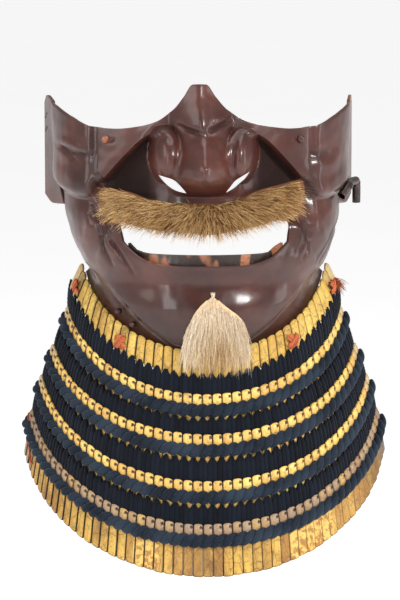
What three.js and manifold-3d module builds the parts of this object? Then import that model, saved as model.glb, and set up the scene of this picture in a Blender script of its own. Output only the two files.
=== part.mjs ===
// A samurai face guard: an iron half mask with a lift-off nose, and a throat guard of five laced rows of
// scales. Millimetres, +Z up. The face looks along -Y and +X is the viewer's right. The origin is inside
// the chin cup, where the wearer's chin sits.
import * as THREE from 'three';
import { mergeVertices } from 'three/addons/utils/BufferGeometryUtils.js';
import Module from 'manifold-3d';

const wasm = await Module();
wasm.setup();

const { sin, cos, abs, min, max, PI } = Math;
const vec = (x, y, z) => new THREE.Vector3(x, y, z);
const radians = (degrees) => degrees * PI / 180;

// ---- driving dimensions ----------------------------------------------------------------------------

const GAP = 0.35;                  // between pieces that touch
const PLATE = 1.6;                 // iron plate with its lacquer
const NOSE_PLATE = 1.5;
const MASK = { columns: 34, mouthColumns: 12, edgeAngle: 88, rim: 5, rimLean: 0.12, edgeMargin: 1.5 };
const MASK_ROWS = { under: 2, chin: 4, mouth: 2, fold: 3, cheek: 3 };
const SET_BACK = { depth: 2.8, raise: 4.5, edge: [59, 55], foot: [54, 62] };
const LEVEL = { mouth: 55, cheek: 85, top: 105 };      // heights at which the rows' guide curves are read
const MOUTH = { half: 42.5, bottom: 37.5, top: 62, cornerBottom: 48.5, cornerTop: 59,
  bendBottom: 5, bendTop: 6 };
const NECK = { inset: 2.3, insetMiddle: 5.6, drop: 3.6, endAngle: 80, groove: 2.2 };
const FLANGE = { back: 80, left: 83.5, right: 81.3, rows: 6, columns: 3, tuck: 3.5, sink: 0.9 };
const LACING_HOLE = { radius: 1.0, length: 14, sides: 6 };
const LACING_HOLES = [{ y: 76.5, z: 106.5 }, { y: 74, z: 108.5 }, { y: 77, z: 99.5 }, { y: 74.5, z: 101 }];
const NOSE = { half: 53, proud: 0.6, columns: 28, lowerRows: 10, upperRows: 4, crowd: 0.28, ridgeBend: 1.35 };
const PEAK = { shift: -2.4, from: 95, to: 125, reach: 40 };      // the peak of the nose plate leans aside

// Horizontal sections of the face: height, half width at the side, y in the middle and at the side, and
// the exponent of the curve between them (2 is an ellipse).
const SECTIONS = [
  { z: -8, half: 42, front: -6.6, side: 50, square: 2.2 },
  { z: 3, half: 48, front: -12, side: 50, square: 2.2 },
  { z: 15, half: 54.5, front: -13.5, side: 50.5, square: 2.2 },
  { z: 27, half: 59.5, front: -10.5, side: 51, square: 2.15 },
  { z: 37, half: 64, front: -12.5, side: 52.5, square: 2.1 },
  { z: 48, half: 68.5, front: -11, side: 55, square: 2.1 },
  { z: 60, half: 71.5, front: -9.5, side: 58, square: 2.05 },
  { z: 80, half: 75.8, front: -6, side: 61, square: 2 },
  { z: 100, half: 77.5, front: -3, side: 63, square: 2 },
  { z: 130, half: 78.5, front: 2, side: 64, square: 2 },
];

// The jaw line, where the face turns under: angle from the middle and height.
const JAW = [
  { angle: 0, z: -5.2 }, { angle: 18, z: -4.4 }, { angle: 31, z: 2.6 }, { angle: 40, z: 9.2 },
  { angle: 45, z: 14.6 }, { angle: 55, z: 24 }, { angle: 61, z: 28.5 }, { angle: 74, z: 31.5 },
  { angle: 95, z: 32.5 },
];

// The upper edge of the mask plate, with the notch that the nose plate closes: distance from the middle.
const MASK_TOP = [
  { x: 0, z: 70.5 }, { x: 26, z: 70.5 }, { x: 33, z: 73 }, { x: 39, z: 84 }, { x: 43, z: 97 },
  { x: 47, z: 104.8 }, { x: 53, z: 105.4 }, { x: 59, z: 106.4 }, { x: 68, z: 110.5 }, { x: 77, z: 115.5 },
  { x: 80, z: 116.5 },
];

// The edge of the raised cheek: distance from the middle, height, and how deep the face drops below it.
const CHEEK_EDGE = [
  { x: 0, z: 104, drop: 0 }, { x: 10, z: 107.5, drop: 0 }, { x: 18, z: 107.5, drop: 1.5 },
  { x: 24, z: 105, drop: 4 }, { x: 31, z: 101, drop: 7 }, { x: 40, z: 92, drop: 8 },
  { x: 48, z: 82.5, drop: 7 }, { x: 54, z: 75, drop: 4.5 }, { x: 62, z: 70.5, drop: 3 },
  { x: 70, z: 71.5, drop: 2.5 }, { x: 80, z: 78, drop: 1.5 },
];
const CHEEK_STEP = { width: 3.2, fadeFrom: 72, fadeTo: 56 };
const CHEEK_PAD = { height: 1.6, above: [-16, -2], below: [-2, 1], side: [46, 58] };

// Folds beside the mouth: distance from the middle at the height given, lean, height range and size.
const FOLDS = [
  { x: 47.5, lean: -0.30, z: 52, reach: 20, width: 2.6, size: 1.3 },
  { x: 53.5, lean: -0.34, z: 50, reach: 22, width: 2.4, size: -1.2 },
  { x: 57.5, lean: -0.30, z: 56, reach: 18, width: 2.6, size: 1.0 },
];
const LIP = { flare: 2.0, width: 4, fade: 14 };
const JAW_LEAN = { shift: 1.4, from: 78, to: 30 };

// The ear flange, from the cheek (0) to its free edge (1).
const FLANGE_TOP = [{ t: 0, z: 116 }, { t: 0.7, z: 118.3 }, { t: 1, z: 114 }];
const FLANGE_FOOT = [{ t: 0, z: 62 }, { t: 0.6, z: 61 }, { t: 1, z: 65 }];

// The nose plate: outline, then the ridge of the nose as height above the face and half width.
const NOSE_TOP = [
  { x: 0, z: 129.5 }, { x: 3.5, z: 129.2 }, { x: 8, z: 123 }, { x: 13.7, z: 116 }, { x: 23, z: 109.7 },
  { x: 33, z: 107 }, { x: 45, z: 105.6 }, { x: 55, z: 105.8 },
];
const NOSE_FOOT = [
  { x: 0, z: 65.5 }, { x: 28, z: 65.5 }, { x: 36, z: 67 }, { x: 43, z: 72.5 }, { x: 49, z: 79.5 },
  { x: 55, z: 88 },
];
const NOSE_RIDGE = [
  { z: 65, height: 0, half: 18 }, { z: 71.5, height: 0, half: 18 }, { z: 74, height: 4, half: 18 },
  { z: 77, height: 13, half: 18 }, { z: 80.5, height: 22.5, half: 17.5 }, { z: 84, height: 27, half: 17 },
  { z: 88, height: 28, half: 16.5 }, { z: 93, height: 25, half: 16 }, { z: 99, height: 20.5, half: 15.5 },
  { z: 104, height: 16, half: 15 }, { z: 109, height: 16.5, half: 15.5 }, { z: 116, height: 15, half: 15 },
  { z: 123, height: 12.5, half: 14 }, { z: 130, height: 11, half: 13 },
];
const WING = { x: 19.5, z: 93, half: 10, reach: 14.5, height: 14.5, blend: 3, bend: 0.6 };
const NOSTRILS = [
  { inner: [-8.8, 74], outer: [-23.2, 83.4], bow: 2.3 },
  { inner: [10.8, 74.2], outer: [23.6, 85.4], bow: 1.5 },
];
const SLIT = { front: -45, back: 15, steps: 5 };
const STUD = { x: 48.5, z: 100, radius: 2.1, height: 1.9, shoulder: 0.55, crown: 0.6, sides: 8 };
const TEETH = { half: 40, foot: 33.5, top: 42.6, cornerTop: 47.5, cornerFrom: 31, thick: 1.8, columns: 22,
  behind: 0.85, pitch: 15, phase: 0.4, notch: 1.6, notchShare: 0.1 };
const HOOK = { z: 72.5, radius: 1.9, drop: 12, tail: 5, angles: [74, 78],
  bend: [78.6, 60], elbow: [83.6, 73] };
const PEG = { radius: 1.5, length: 2.4, up: 0.5, outer: -50, inner: -42 };

// The moustache: distance along x, its lower and upper edge, and how far it stands out.
const MOUSTACHE = [
  { x: -54, low: 69, high: 75, out: 2 }, { x: -49, low: 60, high: 76.5, out: 4.5 },
  { x: -38, low: 56.5, high: 75.5, out: 6.5 }, { x: -25, low: 53.8, high: 71.6, out: 7.5 },
  { x: -9, low: 52.8, high: 70.2, out: 7.5 }, { x: 3, low: 51.8, high: 70.2, out: 7.5 },
  { x: 15, low: 54.2, high: 72, out: 7.5 }, { x: 27, low: 56, high: 76.4, out: 7.5 },
  { x: 39, low: 60, high: 79, out: 6.5 }, { x: 47, low: 64, high: 80.5, out: 4.5 },
  { x: 52, low: 72.5, high: 78.5, out: 2 },
];
const MOUSTACHE_SHAPE = { columns: 38, lift: 3, lockDepth: 0.9, lockEdge: 1.1 };
const MOUSTACHE_ROWS = [{ t: 0, out: 0.45 }, { t: 0.3, out: 1 }, { t: 0.72, out: 0.9 }, { t: 1, out: 0.35 }];

// The chin tuft: height, left and right edge, and how far it stands out of the chin.
const TUFT = [
  { z: 23, left: 1.5, right: 4.5, out: 1.6 }, { z: 17.5, left: -5, right: 10.5, out: 3.6 },
  { z: 8, left: -11.5, right: 21, out: 5.5 }, { z: -1, left: -14.2, right: 22.6, out: 6.5 },
  { z: -10, left: -14, right: 18.5, out: 6.5 }, { z: -18, left: -9.5, right: 13, out: 3.5 },
];
const TUFT_SHAPE = { columns: 13, rows: 6, lift: 2.3, lockDepth: 0.7, lockEdge: 1.4, edgeOut: 0.35,
  hangFrom: 2, hangLean: 0.12 };

// The rows of scales. Each edge is a tilted half ellipse: half width, depth and rise towards the ends,
// and the y and z of its middle at the top edge; then the height of the row, how far it spreads for each
// millimetre down, and the count of its scales.
const LAMES = [
  { half: 66.4, front: -11, depth: 76, middle: -6.8, rise: 46.5, height: 14.4, flare: 0.16, scales: 37 },
  { half: 74.3, front: -18, depth: 83, middle: -27.8, rise: 44.5, height: 30, flare: 0.12, scales: 41 },
  { half: 82.2, front: -26, depth: 91, middle: -47, rise: 43.5, height: 31, flare: 0.12, scales: 45 },
  { half: 88.8, front: -32.5, depth: 98, middle: -70, rise: 51.5, height: 30, flare: 0.06, scales: 49 },
  { half: 93.8, front: -38.2, depth: 104, middle: -91, rise: 54.5, height: 26.6, flare: 0.16, scales: 53 },
];
const LAME = { endAngle: 80, endShort: 0.2, thick: 1.4, rib: 0.5, head: 0.8, foot: 0.6 };
const ROPE = { from: 5.2, to: 11.2, out: 2.6, rings: 36 };
const LACES = { from: 12.6, firstFrom: 11, firstLift: -LAME.thick - 3 * GAP, tuck: 5, thick: 1.2, rings: 30 };
const KNOT_ANGLES = [-76.5, -40.5, 42, 76];
const KNOT = { down: 7.6, arm: 4.6, halfWidth: 1.9, thick: 2.2, lift: 1.25 };

const RUSSET = { color: 0x5a3630, roughness: 0.38, metalness: 0.25 };
const GOLD = { color: 0xc79f45, roughness: 0.45, metalness: 0.55 };
const INDIGO = { color: 0x16202f, roughness: 0.9, metalness: 0 };
const ORANGE = { color: 0xb65a38, roughness: 0.85, metalness: 0 };
const HAIR = { color: 0xa5824a, roughness: 0.9, metalness: 0 };
const CREAM = { color: 0xd8c39a, roughness: 0.9, metalness: 0 };
const IRON = { color: 0x241512, roughness: 0.5, metalness: 0.4 };
const TOOTH = { color: 0x3c2a20, roughness: 0.4, metalness: 0.1 };

// ---- tables and small functions --------------------------------------------------------------------

// A smooth curve without overshoot through the rows of a table.
function curve(rows, from, to) {
  const x = rows.map((row) => row[from]);
  const y = rows.map((row) => row[to]);
  const last = x.length - 1;
  const step = x.slice(1).map((value, i) => (y[i + 1] - y[i]) / (value - x[i]));
  const slope = x.map((_, i) => {
    if (i === 0 || i === last) return step[min(i, last - 1)];
    const turn = step[i - 1] * step[i];
    return turn > 0 ? 2 * turn / (step[i - 1] + step[i]) : 0;
  });
  return (at) => {
    const t = min(max(at, x[0]), x[last]);
    let i = 0;
    while (i < last - 1 && t > x[i + 1]) i += 1;
    const h = x[i + 1] - x[i];
    const s = (t - x[i]) / h;
    const blend = s * s * (3 - 2 * s);
    const inner = s * (1 - s) * h;
    return y[i] + (y[i + 1] - y[i]) * blend + inner * ((1 - s) * slope[i] - s * slope[i + 1]);
  };
}

function smooth(edge0, edge1, value) {
  const t = min(max((value - edge0) / (edge1 - edge0), 0), 1);
  return t * t * (3 - 2 * t);
}

function softMax(a, b, width) {
  const h = max(width - abs(a - b), 0) / width;
  return max(a, b) + h * h * width / 4;
}

const between = (a, b, t) => a + (b - a) * t;
const steps = (count) => Array.from({ length: count + 1 }, (_, i) => i / count);

// ---- the face as a surface -------------------------------------------------------------------------

const halfAt = curve(SECTIONS, 'z', 'half');
const frontAt = curve(SECTIONS, 'z', 'front');
const sideAt = curve(SECTIONS, 'z', 'side');
const squareAt = curve(SECTIONS, 'z', 'square');
const jawAt = curve(JAW, 'angle', 'z');
const maskTopAt = curve(MASK_TOP, 'x', 'z');
const cheekEdgeAt = curve(CHEEK_EDGE, 'x', 'z');
const cheekDropAt = curve(CHEEK_EDGE, 'x', 'drop');

// How far the face stands out of its plain section at a place in front view. `raise` lifts the edge of the
// cheek, for a plate that lies under another.
function relief(x, z, raise = 0) {
  const side = abs(x);
  const below = cheekEdgeAt(side) + raise - z;
  const sunk = smooth(0, CHEEK_STEP.width, below) * smooth(CHEEK_STEP.fadeTo, CHEEK_STEP.fadeFrom, z);
  const pad = smooth(...CHEEK_PAD.above, below) * (1 - smooth(...CHEEK_PAD.below, below));
  let out = CHEEK_PAD.height * pad * smooth(...CHEEK_PAD.side, side) - cheekDropAt(side) * sunk;
  for (const fold of FOLDS) {
    const offset = (side - fold.x - fold.lean * (z - fold.z)) / fold.width;
    const along = (z - fold.z) / fold.reach;
    out += fold.size * Math.exp(-offset * offset) * max(1 - along * along, 0);
  }
  const lip = (mouthEdge(side, -1) - z) / LIP.width;
  if (side >= MOUTH.half) return out;
  return out + LIP.flare * Math.exp(-lip * lip) * smooth(MOUTH.half, MOUTH.half - LIP.fade, side);
}

// The lower (-1) or upper (+1) edge of the mouth, carried on past its corners.
function mouthEdge(side, which) {
  const t = min(side / MOUTH.half, 1);
  if (which < 0) return between(MOUTH.bottom, MOUTH.cornerBottom, t ** MOUTH.bendBottom);
  return between(MOUTH.top, MOUTH.cornerTop, t ** MOUTH.bendTop);
}

// The outward direction of the plain section, level with the ground.
function outward(angle, z) {
  const a = halfAt(z);
  const b = sideAt(z) - frontAt(z);
  const n = squareAt(z);
  const s = min(abs(sin(angle)), 0.9999);
  const c = (1 - s ** n) ** (1 / n);
  return vec(Math.sign(sin(angle)) * s ** (n - 1) / a, -(c ** (n - 1)) / b, 0).normalize();
}

// A place on the inside of the mask plate, lifted outwards by `lift`.
function face(angle, z, lift, raise = 0) {
  const a = halfAt(z);
  const b = sideAt(z) - frontAt(z);
  const n = squareAt(z);
  const s = sin(angle);
  const place = vec(a * s, sideAt(z) - b * (1 - min(abs(s), 1) ** n) ** (1 / n), z);
  place.addScaledVector(outward(angle, z), relief(a * s, z, raise) + lift);
  return place.add(vec(JAW_LEAN.shift * smooth(JAW_LEAN.from, JAW_LEAN.to, z), 0, 0));
}

// The same, given by its distance from the middle in front view.
function faceAt(x, z, lift) {
  return face(Math.asin(min(max(x / halfAt(z), -1), 1)), z, lift);
}

// The same for what is laid over the face and bridges its hollows.
function overFace(x, z, lift) {
  return faceAt(x, z, lift - min(relief(x, z), 0));
}

// ---- building closed solids ------------------------------------------------------------------------

function solid(points, triangles) {
  const geometry = new THREE.BufferGeometry();
  const numbers = points.flatMap((p) => [p.x, p.y, p.z]);
  geometry.setAttribute('position', new THREE.Float32BufferAttribute(numbers, 3));
  geometry.setIndex(triangles.flat());
  return signedVolume(geometry) < 0 ? solid(points, triangles.map(([a, b, c]) => [a, c, b])) : geometry;
}

function signedVolume(geometry) {
  const position = geometry.getAttribute('position');
  const index = geometry.getIndex();
  const at = (i) => new THREE.Vector3().fromBufferAttribute(position, index.getX(i));
  let volume = 0;
  for (let i = 0; i < index.count; i += 3) volume += at(i).dot(at(i + 1).cross(at(i + 2)));
  return volume;
}

// A plate between two grids of points, with walls wherever a kept cell has no kept neighbour.
function plate(outer, inner, keep = () => true) {
  const rows = outer.length - 1;
  const columns = outer[0].length - 1;
  const width = columns + 1;
  const count = (rows + 1) * width;
  const kept = (i, j) => i >= 0 && j >= 0 && i < rows && j < columns && keep(i, j);
  const triangles = [];
  const quad = (a, b, c, d) => triangles.push([a, b, c], [a, c, d]);
  for (let i = 0; i < rows; i += 1) {
    for (let j = 0; j < columns; j += 1) {
      if (!kept(i, j)) continue;
      const a = i * width + j;
      const b = a + 1;
      const d = a + width;
      const c = d + 1;
      quad(a, b, c, d);
      quad(a + count, d + count, c + count, b + count);
      if (!kept(i - 1, j)) quad(a, a + count, b + count, b);
      if (!kept(i + 1, j)) quad(c, c + count, d + count, d);
      if (!kept(i, j - 1)) quad(d, d + count, a + count, a);
      if (!kept(i, j + 1)) quad(b, b + count, c + count, c);
    }
  }
  return used(solid([...outer.flat(), ...inner.flat()], triangles));
}

// Drops the points that no triangle uses.
function used(geometry) {
  const position = geometry.getAttribute('position');
  const index = [...geometry.getIndex().array];
  const order = [...new Set(index)];
  const place = new Map(order.map((from, to) => [from, to]));
  const points = order.map((i) => new THREE.Vector3().fromBufferAttribute(position, i));
  const triangles = [];
  for (let i = 0; i < index.length; i += 3) triangles.push(index.slice(i, i + 3).map((v) => place.get(v)));
  return solid(points, triangles);
}

// A solid through rings of equal length, closed at both ends.
function sweep(rings) {
  const size = rings[0].length;
  const triangles = [];
  for (let i = 0; i + 1 < rings.length; i += 1) {
    for (let k = 0; k < size; k += 1) {
      const next = (k + 1) % size;
      const a = i * size;
      triangles.push([a + k, a + next, a + size + next], [a + k, a + size + next, a + size + k]);
    }
  }
  const end = (rings.length - 1) * size;
  for (let k = 1; k + 1 < size; k += 1) triangles.push([0, k + 1, k], [end, end + k, end + k + 1]);
  return solid(rings.flat(), triangles);
}

// A round or many-sided bar along a short path.
function bar(path, radius, sides) {
  const rings = path.map((point, i) => {
    const ahead = path[min(i + 1, path.length - 1)].clone().sub(path[max(i - 1, 0)]).normalize();
    const side = abs(ahead.z) > 0.9 ? vec(1, 0, 0) : vec(0, 0, 1);
    const u = side.clone().addScaledVector(ahead, -side.dot(ahead)).normalize();
    const v = ahead.clone().cross(u);
    return steps(sides).slice(0, sides).map((t) => point.clone()
      .addScaledVector(u, radius * cos(2 * PI * t)).addScaledVector(v, radius * sin(2 * PI * t)));
  });
  return sweep(rings);
}

function manifold(geometry) {
  const bare = geometry.clone();
  bare.deleteAttribute('normal');
  bare.deleteAttribute('uv');
  const merged = mergeVertices(bare);
  return new wasm.Manifold(new wasm.Mesh({
    numProp: 3,
    vertProperties: new Float32Array(merged.getAttribute('position').array),
    triVerts: new Uint32Array(merged.getIndex().array),
  }));
}

function geometryOf(body) {
  const mesh = body.getMesh();
  const geometry = new THREE.BufferGeometry();
  geometry.setAttribute('position', new THREE.BufferAttribute(new Float32Array(mesh.vertProperties), 3));
  geometry.setIndex(new THREE.BufferAttribute(new Uint32Array(mesh.triVerts), 1));
  return geometry;
}

// The points of a grid moved by `depth` against their own normals.
function inset(grid, depth) {
  const at = (i, j) => grid[min(max(i, 0), grid.length - 1)][min(max(j, 0), grid[0].length - 1)];
  return grid.map((row, i) => row.map((point, j) => {
    const across = at(i, j + 1).clone().sub(at(i, j - 1));
    const along = at(i + 1, j).clone().sub(at(i - 1, j));
    return point.clone().addScaledVector(across.cross(along).normalize(), -depth);
  }));
}

// ---- mask plate ------------------------------------------------------------------------------------

function neckPoint(angle) {
  const lame = LAMES[0];
  const turn = angle * NECK.endAngle / 90;
  const sweepBack = 1 - cos(turn);
  const inset = between(NECK.insetMiddle, NECK.inset, sin(abs(turn)));
  return vec((lame.half - inset) * sin(turn) + JAW_LEAN.shift,
    lame.front + inset + (lame.depth - inset) * sweepBack,
    lame.middle - NECK.drop + lame.rise * sweepBack);
}

// Heights of the rows above the jaw at one column: jaw to mouth, mouth, mouth to the upper edge.
function rowHeights(angle) {
  const jaw = jawAt(abs(angle) * 180 / PI);
  const side = abs(sin(angle));
  const low = mouthEdge(side * halfAt(LEVEL.mouth), -1);
  const high = mouthEdge(side * halfAt(LEVEL.mouth), 1);
  const top = maskTopAt(side * halfAt(LEVEL.top));
  const wanted = cheekEdgeAt(side * halfAt(LEVEL.cheek));
  const edge = min(max(wanted, high + 2 * MASK.edgeMargin), top - MASK.edgeMargin);
  return [
    ...steps(MASK_ROWS.chin).slice(1).map((t) => between(jaw, low, t)),
    ...steps(MASK_ROWS.mouth).slice(1).map((t) => between(low, high, t)),
    ...steps(MASK_ROWS.fold).slice(1).map((t) => between(high, edge, t)),
    ...steps(MASK_ROWS.cheek).slice(1).map((t) => between(edge, top, t)),
  ];
}

// The outside of the mask plate, which is set back where the nose plate lies on it.
function maskSkin(angle, z) {
  const side = abs(sin(angle)) * halfAt(z);
  const covered = smooth(...SET_BACK.edge, side) * smooth(...SET_BACK.foot, z);
  return face(angle, z, PLATE - SET_BACK.depth * covered, SET_BACK.raise * covered);
}

function maskColumn(angle, back) {
  const jaw = face(angle, jawAt(abs(angle) * 180 / PI), PLATE);
  const neck = neckPoint(angle);
  const inward = outward(angle, jaw.z).multiplyScalar(-NECK.groove);
  const under = steps(MASK_ROWS.under).map((t) => neck.clone().lerp(jaw, t)
    .addScaledVector(inward, sin(PI * t)));
  const above = rowHeights(angle).map((z) => maskSkin(angle, z));
  const shift = vec(-Math.sign(angle) * back * MASK.rimLean, back, 0);
  return [...under, ...above].map((point) => point.add(shift));
}

function maskAngles() {
  const edge = radians(MASK.edgeAngle);
  const mouth = Math.asin(MOUTH.half / halfAt(LEVEL.mouth));
  const inside = MASK.mouthColumns;
  const outside = (MASK.columns - inside) / 2;
  const left = steps(outside).map((t) => between(-edge, -mouth, t));
  const middle = steps(inside).map((t) => between(-mouth, mouth, t));
  return [...left.slice(0, -1), ...middle, ...left.map((a) => -a).reverse().slice(1)];
}

function flange(side) {
  const top = curve(FLANGE_TOP, 't', 'z');
  const foot = curve(FLANGE_FOOT, 't', 'z');
  const outer = steps(FLANGE.rows).map((row) => steps(FLANGE.columns).map((t) => {
    const z = between(foot(t), top(t), row);
    const x = between(halfAt(z) + PLATE - FLANGE.sink, side < 0 ? FLANGE.left : FLANGE.right, t);
    return vec(side * x, between(sideAt(z) - FLANGE.tuck, FLANGE.back, t), z);
  }));
  return plate(outer, inset(outer, side * PLATE));
}

function maskPlate() {
  const angles = maskAngles();
  const rim = MASK.rim;
  const columns = [
    maskColumn(angles[0], rim),
    ...angles.map((angle) => maskColumn(angle, 0)),
    maskColumn(angles[angles.length - 1], rim),
  ];
  const outer = columns[0].map((_, i) => columns.map((column) => column[i]));
  const mouthFrom = MASK_ROWS.under + MASK_ROWS.chin;
  const mouthTo = mouthFrom + MASK_ROWS.mouth;
  const edge = 1 + (MASK.columns - MASK.mouthColumns) / 2;
  const inMouth = (i, j) => i >= mouthFrom && i < mouthTo && j >= edge && j < edge + MASK.mouthColumns;
  let body = manifold(plate(outer, inset(outer, PLATE), (i, j) => !inMouth(i, j)));
  body = body.add(manifold(flange(-1))).add(manifold(flange(1)));
  const { radius, length, sides } = LACING_HOLE;
  for (const { y, z } of LACING_HOLES) {
    const hole = new THREE.CylinderGeometry(radius, radius, length, sides);
    hole.rotateZ(PI / 2);
    hole.translate(-FLANGE.left, y, z);
    body = body.subtract(manifold(hole));
  }
  return geometryOf(body);
}

// ---- nose plate and what sits on the mask ----------------------------------------------------------

const noseTopAt = curve(NOSE_TOP, 'x', 'z');
const noseFootAt = curve(NOSE_FOOT, 'x', 'z');
const ridgeAt = curve(NOSE_RIDGE, 'z', 'height');
const ridgeHalfAt = curve(NOSE_RIDGE, 'z', 'half');

// How far the nose stands out of the face.
function noseBulge(x, z) {
  const across = abs(x - PEAK.shift * smooth(PEAK.from, PEAK.to, z));
  const ridge = ridgeAt(z) * max(1 - (across / ridgeHalfAt(z)) ** NOSE.ridgeBend, 0);
  const round = ((abs(x) - WING.x) / WING.half) ** 2 + ((z - WING.z) / WING.reach) ** 2;
  const wing = WING.height * max(1 - round, 0) ** WING.bend;
  return softMax(ridge, wing, WING.blend) - WING.blend / 4;
}

function nosePoint(x, z) {
  return faceAt(x, z, PLATE + NOSE.proud).add(vec(0, -noseBulge(x, z), 0));
}

function noseGrid() {
  const across = steps(NOSE.columns).map((t) => {
    const s = 2 * t - 1;
    return NOSE.half * between(s, s * s * s, NOSE.crowd);
  });
  const column = (x) => {
    const foot = noseFootAt(abs(x));
    const top = noseTopAt(abs(x - PEAK.shift * smooth(PEAK.reach, 0, abs(x))));
    const edge = min(max(cheekEdgeAt(abs(x)), foot + MASK.edgeMargin), top - MASK.edgeMargin);
    return [
      ...steps(NOSE.lowerRows).map((t) => between(foot, edge, t)),
      ...steps(NOSE.upperRows).slice(1).map((t) => between(edge, top, t)),
    ].map((z) => nosePoint(x, z));
  };
  const columns = across.map(column);
  return columns[0].map((_, i) => columns.map((points) => points[i]));
}

function nosePlate() {
  const outer = noseGrid();
  let body = manifold(plate(outer, inset(outer, NOSE_PLATE)));
  for (const slit of NOSTRILS) body = body.subtract(manifold(slitCutter(slit)));
  return geometryOf(body);
}

// A lens-shaped bar through the plate, for one nostril.
function slitCutter({ inner, outer, bow }) {
  const along = vec(outer[0] - inner[0], 0, outer[1] - inner[1]);
  const across = vec(-along.z, 0, along.x).normalize();
  const side = (sign) => steps(SLIT.steps).map((t) => vec(inner[0], 0, inner[1])
    .addScaledVector(along, t).addScaledVector(across, sign * bow * sin(PI * t)));
  const outline = [...side(1), ...side(-1).reverse().slice(1, -1)];
  return sweep([SLIT.front, SLIT.back].map((y) => outline.map((point) => point.clone().add(vec(0, y, 0)))));
}

function noseStud(side) {
  const { radius, height } = STUD;
  const profile = [[0, 0], [radius, 0], [radius, height * STUD.shoulder],
    [radius * STUD.crown, height], [0, height]].map(([r, h]) => new THREE.Vector2(r, h));
  const geometry = new THREE.LatheGeometry(profile, STUD.sides);
  const foot = nosePoint(side * STUD.x, STUD.z);
  const out = outward(Math.asin(side * STUD.x / halfAt(STUD.z)), STUD.z);
  geometry.applyQuaternion(new THREE.Quaternion().setFromUnitVectors(vec(0, 1, 0), out));
  geometry.translate(...foot.addScaledVector(out, GAP).toArray());
  return geometry;
}

function teethRow() {
  const columns = steps(TEETH.columns).map((t) => {
    const x = between(-TEETH.half, TEETH.half, t);
    const rise = smooth(TEETH.cornerFrom, TEETH.half, abs(x));
    const turn = x / TEETH.pitch + TEETH.phase;
    const notched = abs(turn - Math.round(turn)) < TEETH.notchShare / 2;
    const top = between(TEETH.top, TEETH.cornerTop, rise) - (notched ? TEETH.notch : 0);
    return [TEETH.foot, top].map((z) => faceAt(x, z, -TEETH.behind));
  });
  const outer = [0, 1].map((i) => columns.map((column) => column[i]));
  return plate(outer, inset(outer, TEETH.thick));
}

function cordHook() {
  const lift = PLATE + 2 * GAP + HOOK.radius;
  const [tail, root] = HOOK.angles.map(radians);
  const path = [
    face(tail, HOOK.z - HOOK.tail, lift), face(root, HOOK.z, lift),
    vec(...HOOK.bend, HOOK.z), vec(...HOOK.elbow, HOOK.z),
    vec(HOOK.elbow[0], HOOK.elbow[1] + 1, HOOK.z - HOOK.drop),
  ];
  return bar(path, HOOK.radius, 6);
}

function jawPeg(angle) {
  const root = neckPoint(radians(angle)).lerp(face(radians(angle), jawAt(abs(angle)), PLATE), PEG.up);
  const out = outward(radians(angle), root.z);
  const start = root.addScaledVector(out, GAP);
  return bar([start, start.clone().addScaledVector(out, PEG.length)], PEG.radius, 6);
}

// Hair in locks on one backing: every other column stands a little lower and shorter.
function moustache() {
  const shape = MOUSTACHE_SHAPE;
  const low = curve(MOUSTACHE, 'x', 'low');
  const high = curve(MOUSTACHE, 'x', 'high');
  const out = curve(MOUSTACHE, 'x', 'out');
  const ends = [MOUSTACHE[0].x, MOUSTACHE[MOUSTACHE.length - 1].x];
  const build = (size) => MOUSTACHE_ROWS.map((row) => steps(shape.columns).map((s, j) => {
    const x = between(ends[0], ends[1], s);
    const lock = j % 2;
    const z = between(low(x) + (row.t === 0 ? lock * shape.lockEdge : 0), high(x), row.t);
    return overFace(x, z, shape.lift + (out(x) - lock * shape.lockDepth) * row.out * size);
  }));
  return plate(build(1), build(0));
}

function chinTuft() {
  const shape = TUFT_SHAPE;
  const left = curve([...TUFT].reverse(), 'z', 'left');
  const right = curve([...TUFT].reverse(), 'z', 'right');
  const out = curve([...TUFT].reverse(), 'z', 'out');
  const ends = [TUFT[TUFT.length - 1].z, TUFT[0].z];
  const build = (size) => steps(shape.rows).map((t) => steps(shape.columns).map((s, j) => {
    const lock = j % 2;
    const z = between(ends[0], ends[1], t) + (t === 0 ? lock * shape.lockEdge : 0);
    const x = between(left(z), right(z), s);
    const skin = faceAt(x, max(z, shape.hangFrom), PLATE + shape.lift);
    const thick = (out(z) - lock * shape.lockDepth) * between(shape.edgeOut, 1, sin(PI * s)) * size;
    return vec(skin.x, skin.y - thick + min(z - shape.hangFrom, 0) * shape.hangLean, z);
  }));
  return plate(build(1), build(0));
}

// ---- throat guard ----------------------------------------------------------------------------------

// A place on the outside of a row: angle round the throat, distance down from the top edge, and lift.
function lamePoint(lame, angle, down, lift) {
  const back = 1 - cos(angle);
  const spread = lame.flare * down + lift;
  return vec((lame.half + spread) * sin(angle) + JAW_LEAN.shift,
    lame.front - spread + (lame.depth + spread) * back,
    lame.middle + lame.rise * back - down * (1 - LAME.endShort * back));
}

const lameAngles = (count) => steps(count).map((t) => radians(between(-LAME.endAngle, LAME.endAngle, t)));

function lameSolid(lame) {
  return sweep(lameAngles(lame.scales * 2).map((angle, i) => {
    const crest = i % 2;
    const top = (1 - crest) * LAME.head;
    const foot = lame.height - (1 - crest) * LAME.foot;
    const lift = (crest - 1) * LAME.rib;
    return [lamePoint(lame, angle, top, lift), lamePoint(lame, angle, foot, lift),
      lamePoint(lame, angle, foot, -LAME.thick), lamePoint(lame, angle, top, -LAME.thick)];
  }));
}

function ropeSolid(lame) {
  const middle = (ROPE.from + ROPE.to) / 2;
  return sweep(lameAngles(ROPE.rings).map((angle) => [
    lamePoint(lame, angle, ROPE.from, GAP), lamePoint(lame, angle, middle, ROPE.out + GAP),
    lamePoint(lame, angle, ROPE.to, GAP),
  ]));
}

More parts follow.
